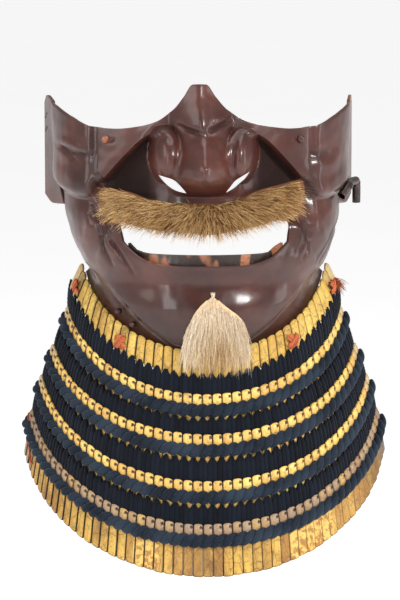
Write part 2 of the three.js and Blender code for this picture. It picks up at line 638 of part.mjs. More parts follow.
// The band of lacing that leaves one row and goes in behind the heads of the next.
function lacesSolid(lame, next, from, lift) {
  return sweep(lameAngles(LACES.rings).map((angle) => {
    const start = lamePoint(lame, angle, from, lift);
    const end = lamePoint(next, angle, LACES.tuck, -LAME.thick - GAP);
    const inward = vec(-sin(angle), cos(angle), 0).multiplyScalar(LACES.thick);
    return [start, end, end.clone().add(inward), start.clone().add(inward)];
  }));
}

// Where a row's laces start: how far down the row, and how far off its face. The first row's leave from
// behind it, under its foot.
const lacing = (row) => (row === 0 ? [LACES.firstFrom, LACES.firstLift] : [LACES.from, GAP + LACES.thick]);

function knot(angle) {
  const arm = KNOT.arm;
  const w = KNOT.halfWidth;
  const shape = new THREE.Shape([[-w, -arm], [w, -arm], [w, -w], [arm, -w], [arm, w], [w, w], [w, arm],
    [-w, arm], [-w, w], [-arm, w], [-arm, -w], [-w, -w]].map(([x, y]) => new THREE.Vector2(x, y)));
  const geometry = new THREE.ExtrudeGeometry(shape, { depth: KNOT.thick, bevelEnabled: false, steps: 1 });
  geometry.rotateZ(PI / 4);
  const turn = radians(angle);
  const foot = lamePoint(LAMES[0], turn, KNOT.down, KNOT.lift);
  const out = vec(sin(turn) * LAMES[0].depth, -cos(turn) * LAMES[0].half, 0).normalize();
  const up = vec(0, 0, 1);
  const right = up.clone().cross(out).normalize();
  geometry.applyMatrix4(new THREE.Matrix4().makeBasis(right, up, out).setPosition(foot));
  return geometry;
}

// ---- the assembly ----------------------------------------------------------------------------------

const group = new THREE.Group();

function add(name, geometry, finish) {
  const mesh = new THREE.Mesh(geometry, new THREE.MeshStandardMaterial(finish));
  mesh.name = name;
  group.add(mesh);
}

add('mask_plate', maskPlate(), RUSSET);
add('nose_plate', nosePlate(), RUSSET);
add('nose_stud_left', noseStud(-1), RUSSET);
add('nose_stud_right', noseStud(1), RUSSET);
add('teeth_row', teethRow(), TOOTH);
add('moustache', moustache(), HAIR);
add('chin_tuft', chinTuft(), CREAM);
add('cord_hook', cordHook(), IRON);
add('jaw_peg_outer', jawPeg(PEG.outer), RUSSET);
add('jaw_peg_inner', jawPeg(PEG.inner), RUSSET);
LAMES.forEach((lame, i) => add(`lame_${i + 1}`, lameSolid(lame), GOLD));
LAMES.slice(1).forEach((lame, i) => {
  add(`laces_${i + 1}`, lacesSolid(LAMES[i], lame, ...lacing(i)), INDIGO);
  add(`rope_${i + 2}`, ropeSolid(lame), INDIGO);
});
KNOT_ANGLES.forEach((angle, i) => add(`knot_${i + 1}`, knot(angle), ORANGE));

export default group;
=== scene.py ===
"""Looks of a samurai face guard: a russet-lacquered half mask with a laced throat guard of gilt scales.

The surfaces follow the same formulas and tables as the solids, in millimetres, and are meshed finely here.
"""

import math

import bmesh
import bpy
import numpy as np
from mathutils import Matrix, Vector


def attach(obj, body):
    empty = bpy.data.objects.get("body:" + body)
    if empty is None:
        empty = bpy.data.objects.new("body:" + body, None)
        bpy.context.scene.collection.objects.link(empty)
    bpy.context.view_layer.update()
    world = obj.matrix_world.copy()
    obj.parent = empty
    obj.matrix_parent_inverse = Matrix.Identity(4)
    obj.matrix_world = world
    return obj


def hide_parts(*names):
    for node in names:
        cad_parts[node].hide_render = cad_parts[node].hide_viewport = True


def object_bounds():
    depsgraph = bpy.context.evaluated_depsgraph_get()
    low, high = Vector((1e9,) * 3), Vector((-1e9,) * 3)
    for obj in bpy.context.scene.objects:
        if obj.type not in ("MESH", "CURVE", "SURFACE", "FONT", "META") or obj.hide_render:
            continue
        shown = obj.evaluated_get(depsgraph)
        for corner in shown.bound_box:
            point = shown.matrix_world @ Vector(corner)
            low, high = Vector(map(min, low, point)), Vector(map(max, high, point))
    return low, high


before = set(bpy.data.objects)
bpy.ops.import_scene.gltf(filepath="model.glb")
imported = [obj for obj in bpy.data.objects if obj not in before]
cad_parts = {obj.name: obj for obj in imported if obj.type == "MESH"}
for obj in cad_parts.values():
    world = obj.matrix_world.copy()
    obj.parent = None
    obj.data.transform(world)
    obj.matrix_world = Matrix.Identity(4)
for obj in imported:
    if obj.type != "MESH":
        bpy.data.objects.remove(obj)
CAD_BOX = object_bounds()

MM = 0.001
SEED = 11
rng = np.random.default_rng(SEED)


# ---- small functions ----

class Sizes(dict):
    """Sizes by name: MOUTH.half is MOUTH["half"]."""
    __getattr__ = dict.__getitem__


def table(names, *rows):
    """Columns by name from rows of numbers."""
    return Sizes((name, np.array(column, float)) for name, column in zip(names.split(), zip(*rows)))


def lines(*rows):
    """Lines in the iron: width, height (a furrow is negative), then a chain of x and z in front view."""
    return [Sizes(width=row[0], size=row[1], points=np.array(row[2:], float)) for row in rows]


def curve(rows, source, target):
    """A smooth curve without overshoot through the rows of a table."""
    x, y = rows[source], rows[target]
    step = np.diff(y) / np.diff(x)
    turn = step[:-1] * step[1:]
    total = np.where(turn > 0, step[:-1] + step[1:], 1)
    slope = np.concatenate([step[:1], np.where(turn > 0, 2 * turn / total, 0), step[-1:]])

    def at(value):
        t = np.clip(value, x[0], x[-1])
        i = np.clip(np.searchsorted(x, t, side="left") - 1, 0, len(x) - 2)
        h = x[i + 1] - x[i]
        s = (t - x[i]) / h
        bend = s * (1 - s) * h * ((1 - s) * slope[i] - s * slope[i + 1])
        return y[i] + (y[i + 1] - y[i]) * s * s * (3 - 2 * s) + bend

    return at


def smooth(edge0, edge1, value):
    t = np.clip((value - edge0) / (edge1 - edge0), 0, 1)
    return t * t * (3 - 2 * t)


def soft_max(a, b, width):
    h = np.maximum(width - np.abs(a - b), 0) / width
    return np.maximum(a, b) + h * h * width / 4


def mix(a, b, t):
    return a + (b - a) * t


def bell(value):
    return np.exp(-value * value)


def unit(vectors):
    return vectors / np.maximum(np.linalg.norm(vectors, axis=-1, keepdims=True), 1e-9)


def vec(x, y, z):
    return np.stack(np.broadcast_arrays(np.asarray(x, float), y, z), axis=-1)


# ---- sizes of the object, as in the solids ----

GAP = 0.35
PLATE = 1.6
NOSE_PLATE = 1.5
MASK = Sizes(edge_angle=88, rim=5, rim_lean=0.12, rim_columns=6, edge_margin=1.5)
SET_BACK = Sizes(depth=2.8, raised=4.5, edge=(59, 55), foot=(54, 62))
LEVEL = Sizes(mouth=55, cheek=85, top=105)    # heights at which the rows' guide curves are read
MOUTH = Sizes(half=42.5, bottom=37.5, top=62, corner_bottom=48.5, corner_top=59, bend_bottom=5, bend_top=6)
NECK = Sizes(inset=2.3, inset_middle=5.6, drop=3.6, end_angle=80, groove=2.2)
FLANGE = Sizes(back=80, left=83.5, right=81.3, tuck=3.5, sink=0.9)
NOSE = Sizes(half=53, proud=0.6, crowd=0.28, ridge_bend=1.35, crest=0.5)
PEAK = Sizes(shift=-2.4, start=95, end=125, reach=40)    # the peak of the nose plate leans aside
WING = Sizes(x=19.5, z=93, half=10, reach=14.5, height=14.5, bend=0.6, blend=7, foot=6)
CHEEK_STEP = Sizes(width=3.2, fade_from=72, fade_to=56)
CHEEK_PAD = Sizes(height=1.6, above=(-16, -2), below=(-2, 1), side=(46, 58))
LIP = Sizes(flare=2.0, width=4, fade=14)
JAW_LEAN = Sizes(shift=1.4, start=78, end=30)
STUD = Sizes(x=48.5, z=100, radius=2.1, height=1.9)
LAME = Sizes(end_angle=80, end_short=0.2, thick=1.4)
SCALE = Sizes(across=11, along=26, crowd=1.3, share=0.492, top=0.1, sunk=0.6, uneven=0.15)
SCALE_HEAD = Sizes(round=1.7, height=1.25, first_round=2.0, first_height=0.95, foot=0.35, below=(5, 7))
# dark: how far the painted shade in each lacing hole reaches
SCALE_HOLE = Sizes(u=0.55, stretch=2.5, down=1.7, radius=0.7, dark=(1.1, 0.6))
ROPE = Sizes(start=5.2, end=11.2, rings=10, swing=1.5, lift=0.9, bulge=1.3, wide=2.15, deep=1.6, sides=12)
LACES = Sizes(first=11, tuck=5, rings=18, sides=8, closed=0.06, opened=0.19, wide=1.5, deep=0.95)
KNOT = Sizes(down=8.8, lift=1.2, passes=4, gap=0.95, reach=4.6, bulge=1.9, wide=0.55, deep=0.5,
             points=15, sides=8)
PEG = Sizes(radius=1.5, height=2.0, proud=0.9, outer=-50, inner=-42)
HOOK = Sizes(z=72.5, radius=2.3, drop=12, tail=5, angles=(74, 78), bend=(78.6, 60), elbow=(83.6, 73))
SLIT = Sizes(front=-45, back=15, points=25)
HOLE = Sizes(radius=1.0, reach=7, sides=16)
STRAND = Sizes(points=6, sides=3, taper=0.82)
MOUSTACHE_HAIR = Sizes(count=5500, margin=8, rows=(0.16, 0.92), lift=3, middle=1.5, reach=26, loose=0.25,
                       length=(4.6, 8.8), thick=(0.10, 0.19), droop=0.12, curl=0.09)
TUFT_HAIR = Sizes(count=4300, rows=(24, -3), loose=0.085, length=(9, 17), thick=(0.08, 0.16), curl=0.05,
                  lift=0.6, hang_from=2, hang_lean=0.12, tips=-20.5)
STRAND_POINTS = STRAND.points * STRAND.sides

SECTIONS = table(
    "z half front side square",
    (-8, 42, -6.6, 50, 2.2), (3, 48, -12, 50, 2.2), (15, 54.5, -13.5, 50.5, 2.2), (27, 59.5, -10.5, 51, 2.15),
    (37, 64, -12.5, 52.5, 2.1), (48, 68.5, -11, 55, 2.1), (60, 71.5, -9.5, 58, 2.05), (80, 75.8, -6, 61, 2),
    (100, 77.5, -3, 63, 2), (130, 78.5, 2, 64, 2))
JAW = table(
    "angle z", (0, -5.2), (18, -4.4), (31, 2.6), (40, 9.2), (45, 14.6), (55, 24), (61, 28.5), (74, 31.5),
    (95, 32.5))
MASK_TOP = table(
    "x z", (0, 70.5), (26, 70.5), (33, 73), (39, 84), (43, 97), (47, 104.8), (53, 105.4), (59, 106.4),
    (68, 110.5), (77, 115.5), (80, 116.5))
CHEEK_EDGE = table(
    "x z drop", (0, 104, 0), (10, 107.5, 0), (18, 107.5, 1.5), (24, 105, 4), (31, 101, 7), (40, 92, 8),
    (48, 82.5, 7), (54, 75, 4.5), (62, 70.5, 3), (70, 71.5, 2.5), (80, 78, 1.5))
FOLDS = table(
    "x lean z reach width size", (47.5, -0.30, 52, 20, 2.6, 1.3), (53.5, -0.34, 50, 22, 2.4, -1.2),
    (57.5, -0.30, 56, 18, 2.6, 1.0))
NOSE_TOP = table(
    "x z", (0, 129.5), (3.5, 129.2), (8, 123), (13.7, 116), (23, 109.7), (33, 107), (45, 105.6), (55, 105.8))
NOSE_FOOT = table("x z", (0, 65.5), (28, 65.5), (36, 67), (43, 72.5), (49, 79.5), (55, 88))
NOSE_RIDGE = table(
    "z height half", (65, 0, 18), (71.5, 0, 18), (74, 4, 18), (77, 13, 18), (80.5, 22.5, 17.5), (84, 27, 17),
    (88, 28, 16.5), (93, 25, 16), (99, 20.5, 15.5), (104, 16, 15), (109, 16.5, 15.5), (116, 15, 15),
    (123, 12.5, 14), (130, 11, 13))
NOSTRILS = [
    Sizes(inner=(-8.8, 74), outer=(-23.2, 83.4), bow=2.3),
    Sizes(inner=(10.8, 74.2), outer=(23.6, 85.4), bow=1.5),
]
MOUSTACHE = table(
    "x low high out", (-54, 69, 75, 2), (-49, 60, 76.5, 4.5), (-38, 56.5, 75.5, 6.5), (-25, 53.8, 71.6, 7.5),
    (-9, 52.8, 70.2, 7.5), (3, 51.8, 70.2, 7.5), (15, 54.2, 72, 7.5), (27, 56, 76.4, 7.5), (39, 60, 79, 6.5),
    (47, 64, 80.5, 4.5), (52, 72.5, 78.5, 2))
TUFT = table(
    "z left right out", (-18, -9.5, 13, 3.5), (-10, -14, 18.5, 6.5), (-1, -14.2, 22.6, 6.5),
    (8, -11.5, 21, 5.5), (17.5, -5, 10.5, 3.6), (23, 1.5, 4.5, 1.6))
LAMES = table(
    "half front depth middle rise height flare splay scales",
    (66.4, -11, 76, -6.8, 46.5, 14.4, 0.16, 0.3, 37), (74.3, -18, 83, -27.8, 44.5, 30, 0.12, 0, 41),
    (82.2, -26, 91, -47, 43.5, 31, 0.12, 0, 45), (88.8, -32.5, 98, -70, 51.5, 30, 0.06, 0, 49),
    (93.8, -38.2, 104, -91, 54.5, 26.6, 0.16, 0, 53))
FLANGE_TOP = table("t z", (0, 116), (0.7, 118.3), (1, 114))
FLANGE_FOOT = table("t z", (0, 62), (0.6, 61), (1, 65))
HOLES = table("y z", (76.5, 106.5), (74, 108.5), (77, 99.5), (74.5, 101))    # lacing holes, left flange
WORN_TIP = Sizes(width=3, low=112)
KNOT_ANGLES = (-74, -40, 40.5, 73.5)
CREASES = lines(
    (1.2, -1.4, (-75.5, 94.3), (-71, 93.8), (-66.6, 92.4), (-62.4, 91.6), (-58.2, 91.2), (-54.5, 91.7)),
    (2.0, 1.0, (-72, 97), (-66, 95.4), (-61, 94.6)),
    (1.0, -1.0, (-73.2, 94.4), (-69.9, 91.9), (-66.7, 89.3), (-63.5, 87.6)),
    (0.55, -1.4, (-59.4, 67.2), (-57.3, 64.4), (-58.3, 61.2), (-56.2, 57.9)),
    (1.1, -1.6, (-56.7, 64.9), (-54.1, 57.1), (-52.6, 48.9), (-49.5, 40.4), (-47, 34.8)),
    (2.2, 0.9, (-51.5, 58), (-48, 48), (-44, 40)),
    (0.9, -1.2, (-53.6, 63.8), (-49.5, 54.5), (-45.4, 45.2), (-40.3, 36.2)),
    (1.0, -1.1, (-49, 50.5), (-43.8, 43.7), (-38.7, 35.9), (-35.7, 30.2)),
    (1.3, -1.5, (48.1, 60.1), (50.5, 53.3), (49.1, 47.4), (45.9, 42)),
    (1.9, 0.9, (46, 57), (47.6, 51), (45.5, 45)),
    (1.1, -1.2, (51.9, 60.7), (53.5, 51.8), (51.3, 44), (47.6, 37)),
    (0.9, -1.4, (72.7, 57.1), (67.7, 48.7), (62.4, 40.4), (58, 33.2)),
    (2.4, -1.3, (52.4, 93.5), (56.2, 91.7), (60.6, 90.8), (65.1, 92.9)),
    (3.2, 1.1, (56.2, 88.1), (60.6, 85.1), (66.3, 85.9), (71, 92)),
)
NOSE_CREASES = lines(
    (1.3, -2.0, (-13.7, 109.1), (-9.2, 107), (-4.8, 105.7), (-0.5, 105.1)),
    (1.3, -2.2, (1.7, 106.5), (5.4, 107.5), (10.1, 109.3), (13.8, 112.3)),
    (2.6, 1.8, (4.3, 111.8), (9, 112.3), (13.3, 113.8)),
    (1.6, -1.2, (-27.4, 90.6), (-28.8, 96.2), (-27.3, 101.9), (-23.3, 105.8), (-18.2, 106.5), (-13.7, 104),
     (-11.2, 100.4), (-10.8, 96.6)),
    (1.1, -0.9, (-22.3, 92.5), (-23.8, 96.8), (-22.3, 100.8), (-18.8, 102.4), (-15.8, 100.5)),
    (1.6, -1.3, (14.4, 88.6), (14.9, 95.6), (16, 101.4), (18.7, 105.5), (23, 106.6)),
    (0.9, -1.5, (-46.4, 99.2), (-45.6, 99.3), (-44.9, 99.2)),
    (1.2, 0.7, (11.8, 92), (12.4, 99), (13.4, 104.5)),
)
LINE_ENDS = 0.15          # the share of a line's height that is left at its ends
LEAF_PATCHES = table("angle half", (-19, 4), (34, 8))    # in degrees, where gold leaf was laid anew

half_at, front_at, side_at, square_at = (curve(SECTIONS, "z", name)
                                         for name in ("half", "front", "side", "square"))
jaw_at = curve(JAW, "angle", "z")
mask_top_at = curve(MASK_TOP, "x", "z")
cheek_edge_at = curve(CHEEK_EDGE, "x", "z")
cheek_drop_at = curve(CHEEK_EDGE, "x", "drop")


# ---- the face as a surface ----

def mouth_edge(side, which):
    t = np.minimum(side / MOUTH.half, 1)
    if which < 0:
        return mix(MOUTH.bottom, MOUTH.corner_bottom, t ** MOUTH.bend_bottom)
    return mix(MOUTH.top, MOUTH.corner_top, t ** MOUTH.bend_top)


def relief(x, z, raised=0):
    """How far the face stands out of its plain section at a place in front view."""
    side = np.abs(x)
    below = cheek_edge_at(side) + raised - z
    sunk = smooth(0, CHEEK_STEP.width, below) * smooth(CHEEK_STEP.fade_to, CHEEK_STEP.fade_from, z)
    pad = smooth(*CHEEK_PAD.above, below) * (1 - smooth(*CHEEK_PAD.below, below))
    out = CHEEK_PAD.height * pad * smooth(*CHEEK_PAD.side, side) - cheek_drop_at(side) * sunk
    for i in range(len(FOLDS.x)):
        fold = Sizes((name, column[i]) for name, column in FOLDS.items())
        offset = (side - fold.x - fold.lean * (z - fold.z)) / fold.width
        along = (z - fold.z) / fold.reach
        out = out + fold.size * bell(offset) * np.maximum(1 - along * along, 0)
    lip = bell((mouth_edge(side, -1) - z) / LIP.width)
    lip = lip * smooth(MOUTH.half, MOUTH.half - LIP.fade, side)
    return out + LIP.flare * np.where(side < MOUTH.half, lip, 0)


def outward(angle, z):
    a, b, n = half_at(z), side_at(z) - front_at(z), square_at(z)
    s = np.minimum(np.abs(np.sin(angle)), 0.9999)
    c = (1 - s ** n) ** (1 / n)
    return unit(vec(np.sign(np.sin(angle)) * s ** (n - 1) / a, -c ** (n - 1) / b, 0))


def face(angle, z, lift, raised=0):
    """A place on the inside of the mask plate, lifted outwards by `lift`."""
    angle, z = np.broadcast_arrays(np.asarray(angle, float), np.asarray(z, float))
    a, b, n = half_at(z), side_at(z) - front_at(z), square_at(z)
    s = np.sin(angle)
    place = vec(a * s, side_at(z) - b * (1 - np.minimum(np.abs(s), 1) ** n) ** (1 / n), z)
    place = place + outward(angle, z) * (relief(a * s, z, raised) + lift)[..., None]
    return place + vec(JAW_LEAN.shift * smooth(JAW_LEAN.start, JAW_LEAN.end, z), 0, 0)


def angle_of(x, z):
    return np.arcsin(np.clip(x / half_at(z), -1, 1))


def face_at(x, z, lift):
    return face(angle_of(x, z), z, lift + np.zeros(np.broadcast(x, z).shape))


def over_face(x, z, lift):
    return face_at(x, z, lift - np.minimum(relief(x, z), 0))


def near_lines(x, z, lines):
    """How near a place is to each chain of points, as a sum of furrows and ridges that fade at their ends."""
    total = np.zeros(np.broadcast(x, z).shape)
    for line in lines:
        points = line.points
        best = np.full(total.shape, 1e9)
        along = np.zeros(total.shape)
        for k, (start, end) in enumerate(zip(points[:-1], points[1:])):
            run = end - start
            t = np.clip(((x - start[0]) * run[0] + (z - start[1]) * run[1]) / (run @ run), 0, 1)
            away = np.hypot(x - start[0] - t * run[0], z - start[1] - t * run[1])
            along = np.where(away < best, (k + t) / (len(points) - 1), along)
            best = np.minimum(best, away)
        fade = mix(LINE_ENDS, 1, np.sqrt(np.clip(np.sin(np.pi * along), 0, 1)))
        total = total + line.size * bell(best / line.width) * fade
    return total


def rough(place, size, seed):
    """Slow waves in all directions, between about -1 and 1."""
    waves = np.random.default_rng(seed)
    count, total = 7, 0
    for _ in range(count):
        direction = unit(waves.normal(size=3)) / size
        total = total + np.sin(2 * np.pi * (place @ direction) + waves.uniform(0, 2 * np.pi))
    return total / (count / 2)


# ---- meshes ----

def volume(points, quads):
    a, b, c, d = (points[quads[:, k]] for k in range(4))
    return np.einsum("ij,ij->i", a, np.cross(b, c) + np.cross(c, d)).sum()


def outside_out(points, quads):
    """The quads turned so that a closed body faces outwards."""
    return quads if volume(points, quads) > 0 else quads[:, ::-1]


def put(name, data):
    """A new object in the scene."""
    thing = bpy.data.objects.new(name, data)
    bpy.context.scene.collection.objects.link(thing)
    return thing


def piece(name, points, quads, material, slot, replaced=(), **numbers):
    """A mesh of quads in millimetres as a piece of the object, with named numbers at its points."""
    mesh = bpy.data.meshes.new(name)
    mesh.vertices.add(len(points))
    mesh.vertices.foreach_set("co", (points * MM).astype(np.float32).ravel())
    mesh.loops.add(quads.size)
    mesh.loops.foreach_set("vertex_index", quads.astype(np.int32).ravel())
    mesh.polygons.add(len(quads))
    mesh.polygons.foreach_set("loop_start", np.arange(0, quads.size, 4, dtype=np.int32))
    mesh.update(calc_edges=True)
    mesh.validate()
    mesh.shade_smooth()
    for label, values in numbers.items():
        layer = mesh.attributes.new(label, "FLOAT", "POINT")
        layer.data.foreach_set("value", np.broadcast_to(values, len(points)).astype(np.float32))
    mesh.materials.append(material)
    thing = put(name, mesh)
    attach(thing, "root")
    if replaced:
        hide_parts(*replaced)
    return thing


def joined(*parts):
    """Several (points, quads) as one."""
    points, quads, count = [], [], 0
    for part in parts:
        points.append(part[0])
        quads.append(outside_out(*part[:2]) + count)
        count += len(part[0])
    return np.concatenate(points), np.concatenate(quads)


def plate(outer, inner, keep=None):
    """A closed plate between two grids, with walls wherever a kept cell has no kept neighbour."""
    rows, columns = outer.shape[0] - 1, outer.shape[1] - 1
    if keep is None:
        keep = np.ones((rows, columns), bool)
    width, count = columns + 1, (rows + 1) * (columns + 1)
    i, j = np.mgrid[0:rows, 0:columns]
    a = i * width + j
    b, d = a + 1, a + width
    c = d + 1
    padded = np.pad(keep, 1)
    quads = [np.stack([a, b, c, d], -1)[keep], np.stack([a, d, c, b], -1)[keep] + count]
    for near, far, di, dj in ((a, b, -1, 0), (c, d, 1, 0), (d, a, 0, -1), (b, c, 0, 1)):
        bare = keep & ~padded[1 + di:1 + di + rows, 1 + dj:1 + dj + columns]
        quads.append(np.stack([near, near + count, far + count, far], -1)[bare])
    quads = np.concatenate(quads)
    points = np.concatenate([outer.reshape(-1, 3), inner.reshape(-1, 3)])
    kept, quads = np.unique(quads, return_inverse=True)
    return points[kept], quads.reshape(-1, 4), kept


def inset(grid, depth):
    across = np.gradient(grid, axis=1)
    along = np.gradient(grid, axis=0)
    return grid - unit(np.cross(across, along)) * depth


def ring_quads(count, length, sides):
    """The quads between the rings of many tubes, whose points lie tube by tube and ring by ring."""
    i, j, k = np.mgrid[0:count, 0:length - 1, 0:sides]
    a = (i * length + j) * sides + k
    b = (i * length + j) * sides + (k + 1) % sides
    return np.stack([a, b, b + sides, a + sides], -1).reshape(-1, 4)


def tubes(paths, wide, deep, out, sides):
    """Closed tubes round many paths of equal length: half sizes across and along the direction `out`."""
    paths = np.asarray(paths, float)
    count, length = paths.shape[:2]
    wide = np.broadcast_to(wide, (count, length))
    deep = np.broadcast_to(deep, (count, length))
    ahead = unit(np.gradient(paths, axis=1))
    side = unit(np.cross(ahead, out))
    up = np.cross(side, ahead)
    turn = np.arange(sides) * 2 * np.pi / sides
    ring = (paths[:, :, None] + side[:, :, None] * (wide[..., None] * np.cos(turn))[..., None]
            + up[:, :, None] * (deep[..., None] * np.sin(turn))[..., None])
    points = ring.reshape(-1, 3)
    return points, outside_out(points, ring_quads(count, length, sides))


def repeat(values, each):
    """One number a tube as one number a point."""
    return np.repeat(np.asarray(values, float), each)


def soften(thing, width, angle=40, segments=2):
    bevel = thing.modifiers.new("edge", "BEVEL")
    bevel.limit_method = "ANGLE"
    bevel.angle_limit = math.radians(angle)
    bevel.width = width * MM
    bevel.segments = segments


# ---- materials ----

def srgb(r, g, b):
    """A colour on the 0 to 255 screen scale as linear light."""
    return tuple(mix(c / 12.92, ((c + 0.055) / 1.055) ** 2.4, c > 0.04045) for c in (r / 255, g / 255, b / 255))


class Shader:
    """A node material with one Principled surface, built up call by call."""

    def __init__(self, name, **values):
        self.material = bpy.data.materials.new(name)
        self.material.use_nodes = True
        self.tree = self.material.node_tree
        self.surface = self.tree.nodes["Principled BSDF"]
        for label, value in values.items():
            self.surface.inputs[label.replace("_", " ")].default_value = value

    def node(self, kind, inputs=(), **settings):
        made = self.tree.nodes.new("ShaderNode" + kind)
        for label, value in settings.items():
            setattr(made, label, value)
        for key, value in dict(inputs).items():
            if isinstance(value, bpy.types.NodeSocket):
                self.tree.links.new(value, made.inputs[key])
            else:
                made.inputs[key].default_value = value
        return made

    def place(self, stretch=(1, 1, 1)):
        where = self.node("TexCoord").outputs["Object"]
        return self.node("Mapping", {"Vector": where, "Scale": stretch}).outputs["Vector"]

    def noise(self, scale, detail=4, roughness=0.55, distortion=0.0, where=None):
        inputs = {"Scale": scale, "Detail": detail, "Roughness": roughness, "Distortion": distortion}
        return self.node("TexNoise", {"Vector": where or self.place(), **inputs}).outputs["Fac"]

    def cells(self, scale, where):
        made = self.node("TexVoronoi", {"Vector": where, "Scale": scale}, feature="DISTANCE_TO_EDGE")
        return made.outputs["Distance"]

    def attribute(self, name):
        return self.node("Attribute", attribute_name=name).outputs["Fac"]

    def ramp(self, value, *stops):
        """Stops are (position, colour or grey)."""
        made = self.node("ValToRGB", {"Fac": value})
        ramp = made.color_ramp
        while len(ramp.elements) < len(stops):
            ramp.elements.new(0.5)
        for element, (position, colour) in zip(ramp.elements, stops):
            element.position = position
            grey = isinstance(colour, (int, float))
            element.color = (colour, colour, colour, 1) if grey else (*colour, 1)
        return made.outputs["Color"]

    def blend(self, amount, a, b, kind="MIX"):
        made = self.node("Mix", data_type="RGBA", blend_type=kind)
        for socket, value in zip((made.inputs[0], made.inputs[6], made.inputs[7]), (amount, a, b)):
            if isinstance(value, bpy.types.NodeSocket):
                self.tree.links.new(value, socket)
            else:
                socket.default_value = (*value, 1) if isinstance(value, tuple) else value
        return made.outputs[2]

    def over(self, base, colour, value, start, end, most=1.0):
        """The colour laid over the base as the value goes from start to end, up to a share of most."""
        return self.blend(self.ramp(value, (start, 0.0), (end, most)), base, colour)

    def math(self, kind, a, b):
        return self.node("Math", {0: a, 1: b}, operation=kind).outputs["Value"]

    def bump(self, height, strength, distance, under=None):
        inputs = {"Height": height, "Strength": strength, "Distance": distance}
        if under is not None:
            inputs["Normal"] = under
        return self.node("Bump", inputs).outputs["Normal"]

    def feed(self, **sockets):
        for label, value in sockets.items():
            self.tree.links.new(value, self.surface.inputs[label.replace("_", " ")])
        return self.material


def lacquer(name):
    """Brown-red lacquer over iron: cloudy colour, a soft gloss, fine pits, dirt and painted shade in its lines
    and hollows, and painted shade towards the bottom.
    """
    s = Shader(name, Coat_Weight=0.42, Coat_Roughness=0.17, Specular_IOR_Level=0.25)
    cloud = s.noise(38, 5, 0.6)
    base = s.ramp(cloud, (0.30, srgb(44, 19, 14)), (0.52, srgb(66, 32, 25)), (0.72, srgb(90, 49, 40)))
    base = s.over(base, srgb(72, 27, 16), s.noise(95, 3), 0.52, 0.72, 0.5)
    base = s.over(base, srgb(40, 18, 13), s.noise(420, 4, 0.6), 0.58, 0.75, 0.35)
    scuffs = s.ramp(s.noise(26, 8, 0.8, 1.2, s.place((1, 1, 0.35))), (0.60, 0.0), (0.74, 0.3))
    base = s.blend(scuffs, base, srgb(124, 80, 68))
    # dirt and painted shade: near black in the furrows and hollows
    base = s.over(base, srgb(20, 9, 6), s.attribute("marks"), 0.05, 0.9, 0.95)
    base = s.over(base, srgb(158, 108, 52), s.attribute("tint"), 0.3, 1.0, 0.85)
    # painted shade: darker towards the bottom, from 36 mm high down to 2 mm
    height = s.math("MULTIPLY", s.node("SeparateXYZ", {0: s.place()}).outputs["Z"], 10.0)
    base = s.blend(s.ramp(height, (0.02, 0.62), (0.36, 0.0)), base, srgb(38, 17, 11))
    gloss = s.ramp(s.noise(60, 4), (0.3, 0.34), (0.7, 0.52))
    gloss = s.over(gloss, (0.85, 0.85, 0.85), s.attribute("marks"), 0.1, 0.8)
    normal = s.bump(s.noise(900, 3), 0.12, 0.0004)
    normal = s.bump(s.noise(150, 4), 0.25, 0.0011, normal)
    coat = s.ramp(s.attribute("marks"), (0.1, 0.42), (0.7, 0.02))
    return s.feed(Base_Color=base, Roughness=gloss, Normal=normal, Coat_Weight=coat)


def gilding(name, light, middle, dark, wear, stain, pale):
    """Gold lacquer worn to brown: cracks, pits, dark stains, dirt and painted shade in the grooves, between the
    scales and in the holes, and pale places.
    """
    s = Shader(name, Metallic=0.12, Coat_Weight=0.12, Coat_Roughness=0.3, Specular_IOR_Level=0.35)
    base = s.ramp(s.noise(55, 5, 0.65), (0.32, middle), (0.55, light), (0.75, light))
    base = s.over(base, middle, s.attribute("tint"), 0.0, 1.0)
    base = s.over(base, dark, s.noise(620, 5, 0.8), 0.56 - wear * 0.06, 0.70, 0.8)
    grain = s.noise(60, 8, 0.75, 0.8, s.place((1.0, 1.0, 0.5)))
    base = s.over(base, dark, grain, 0.60 - stain * 0.13, 0.74, 0.95)
    cracks = s.ramp(s.cells(170, s.place((1, 1, 0.55))), (0.0, 0.7 * wear), (0.03, 0.0))
    base = s.blend(cracks, base, dark)
    base = s.over(base, pale, s.attribute("pale"), 0.0, 1.0, 0.9)
    leaf = s.over(srgb(214, 176, 92), srgb(158, 112, 54), s.noise(330, 4, 0.7), 0.46, 0.56)
    base = s.over(base, leaf, s.attribute("leaf"), 0.4, 0.6)
    # dirt and painted shade: near black in grooves, between scales and in holes
    base = s.over(base, srgb(30, 16, 8), s.attribute("marks"), 0.15, 0.85, 0.96)
    gloss = s.ramp(s.noise(180, 3), (0.3, 0.42), (0.7, 0.65))
    normal = s.bump(s.noise(680, 4), 0.3, 0.0005)
    normal = s.bump(s.noise(170, 3), 0.35, 0.0010, normal)
    return s.feed(Base_Color=base, Roughness=gloss, Normal=normal)


def silk(name, low, high, faded):
    """Braided silk: fine slanting yarns, faded on top, dark between."""
    s = Shader(name, Roughness=0.82, Sheen_Weight=0.1, Sheen_Roughness=0.4, Specular_IOR_Level=0.12)
    yarn = s.noise(1500, 3, 0.7, 0.4)
    broad = s.noise(70, 4, 0.6)
    base = s.blend(s.ramp(yarn, (0.35, 0.0), (0.65, 1.0)), low, high)
    base = s.over(base, faded, broad, 0.48, 0.75, 0.55)
    base = s.over(base, faded, s.attribute("tint"), 0.0, 1.0, 0.85)
    base = s.over(base, srgb(6, 8, 12), s.attribute("marks"), 0.1, 1.0, 0.9)
    return s.feed(Base_Color=base, Normal=s.bump(yarn, 0.5, 0.0004))


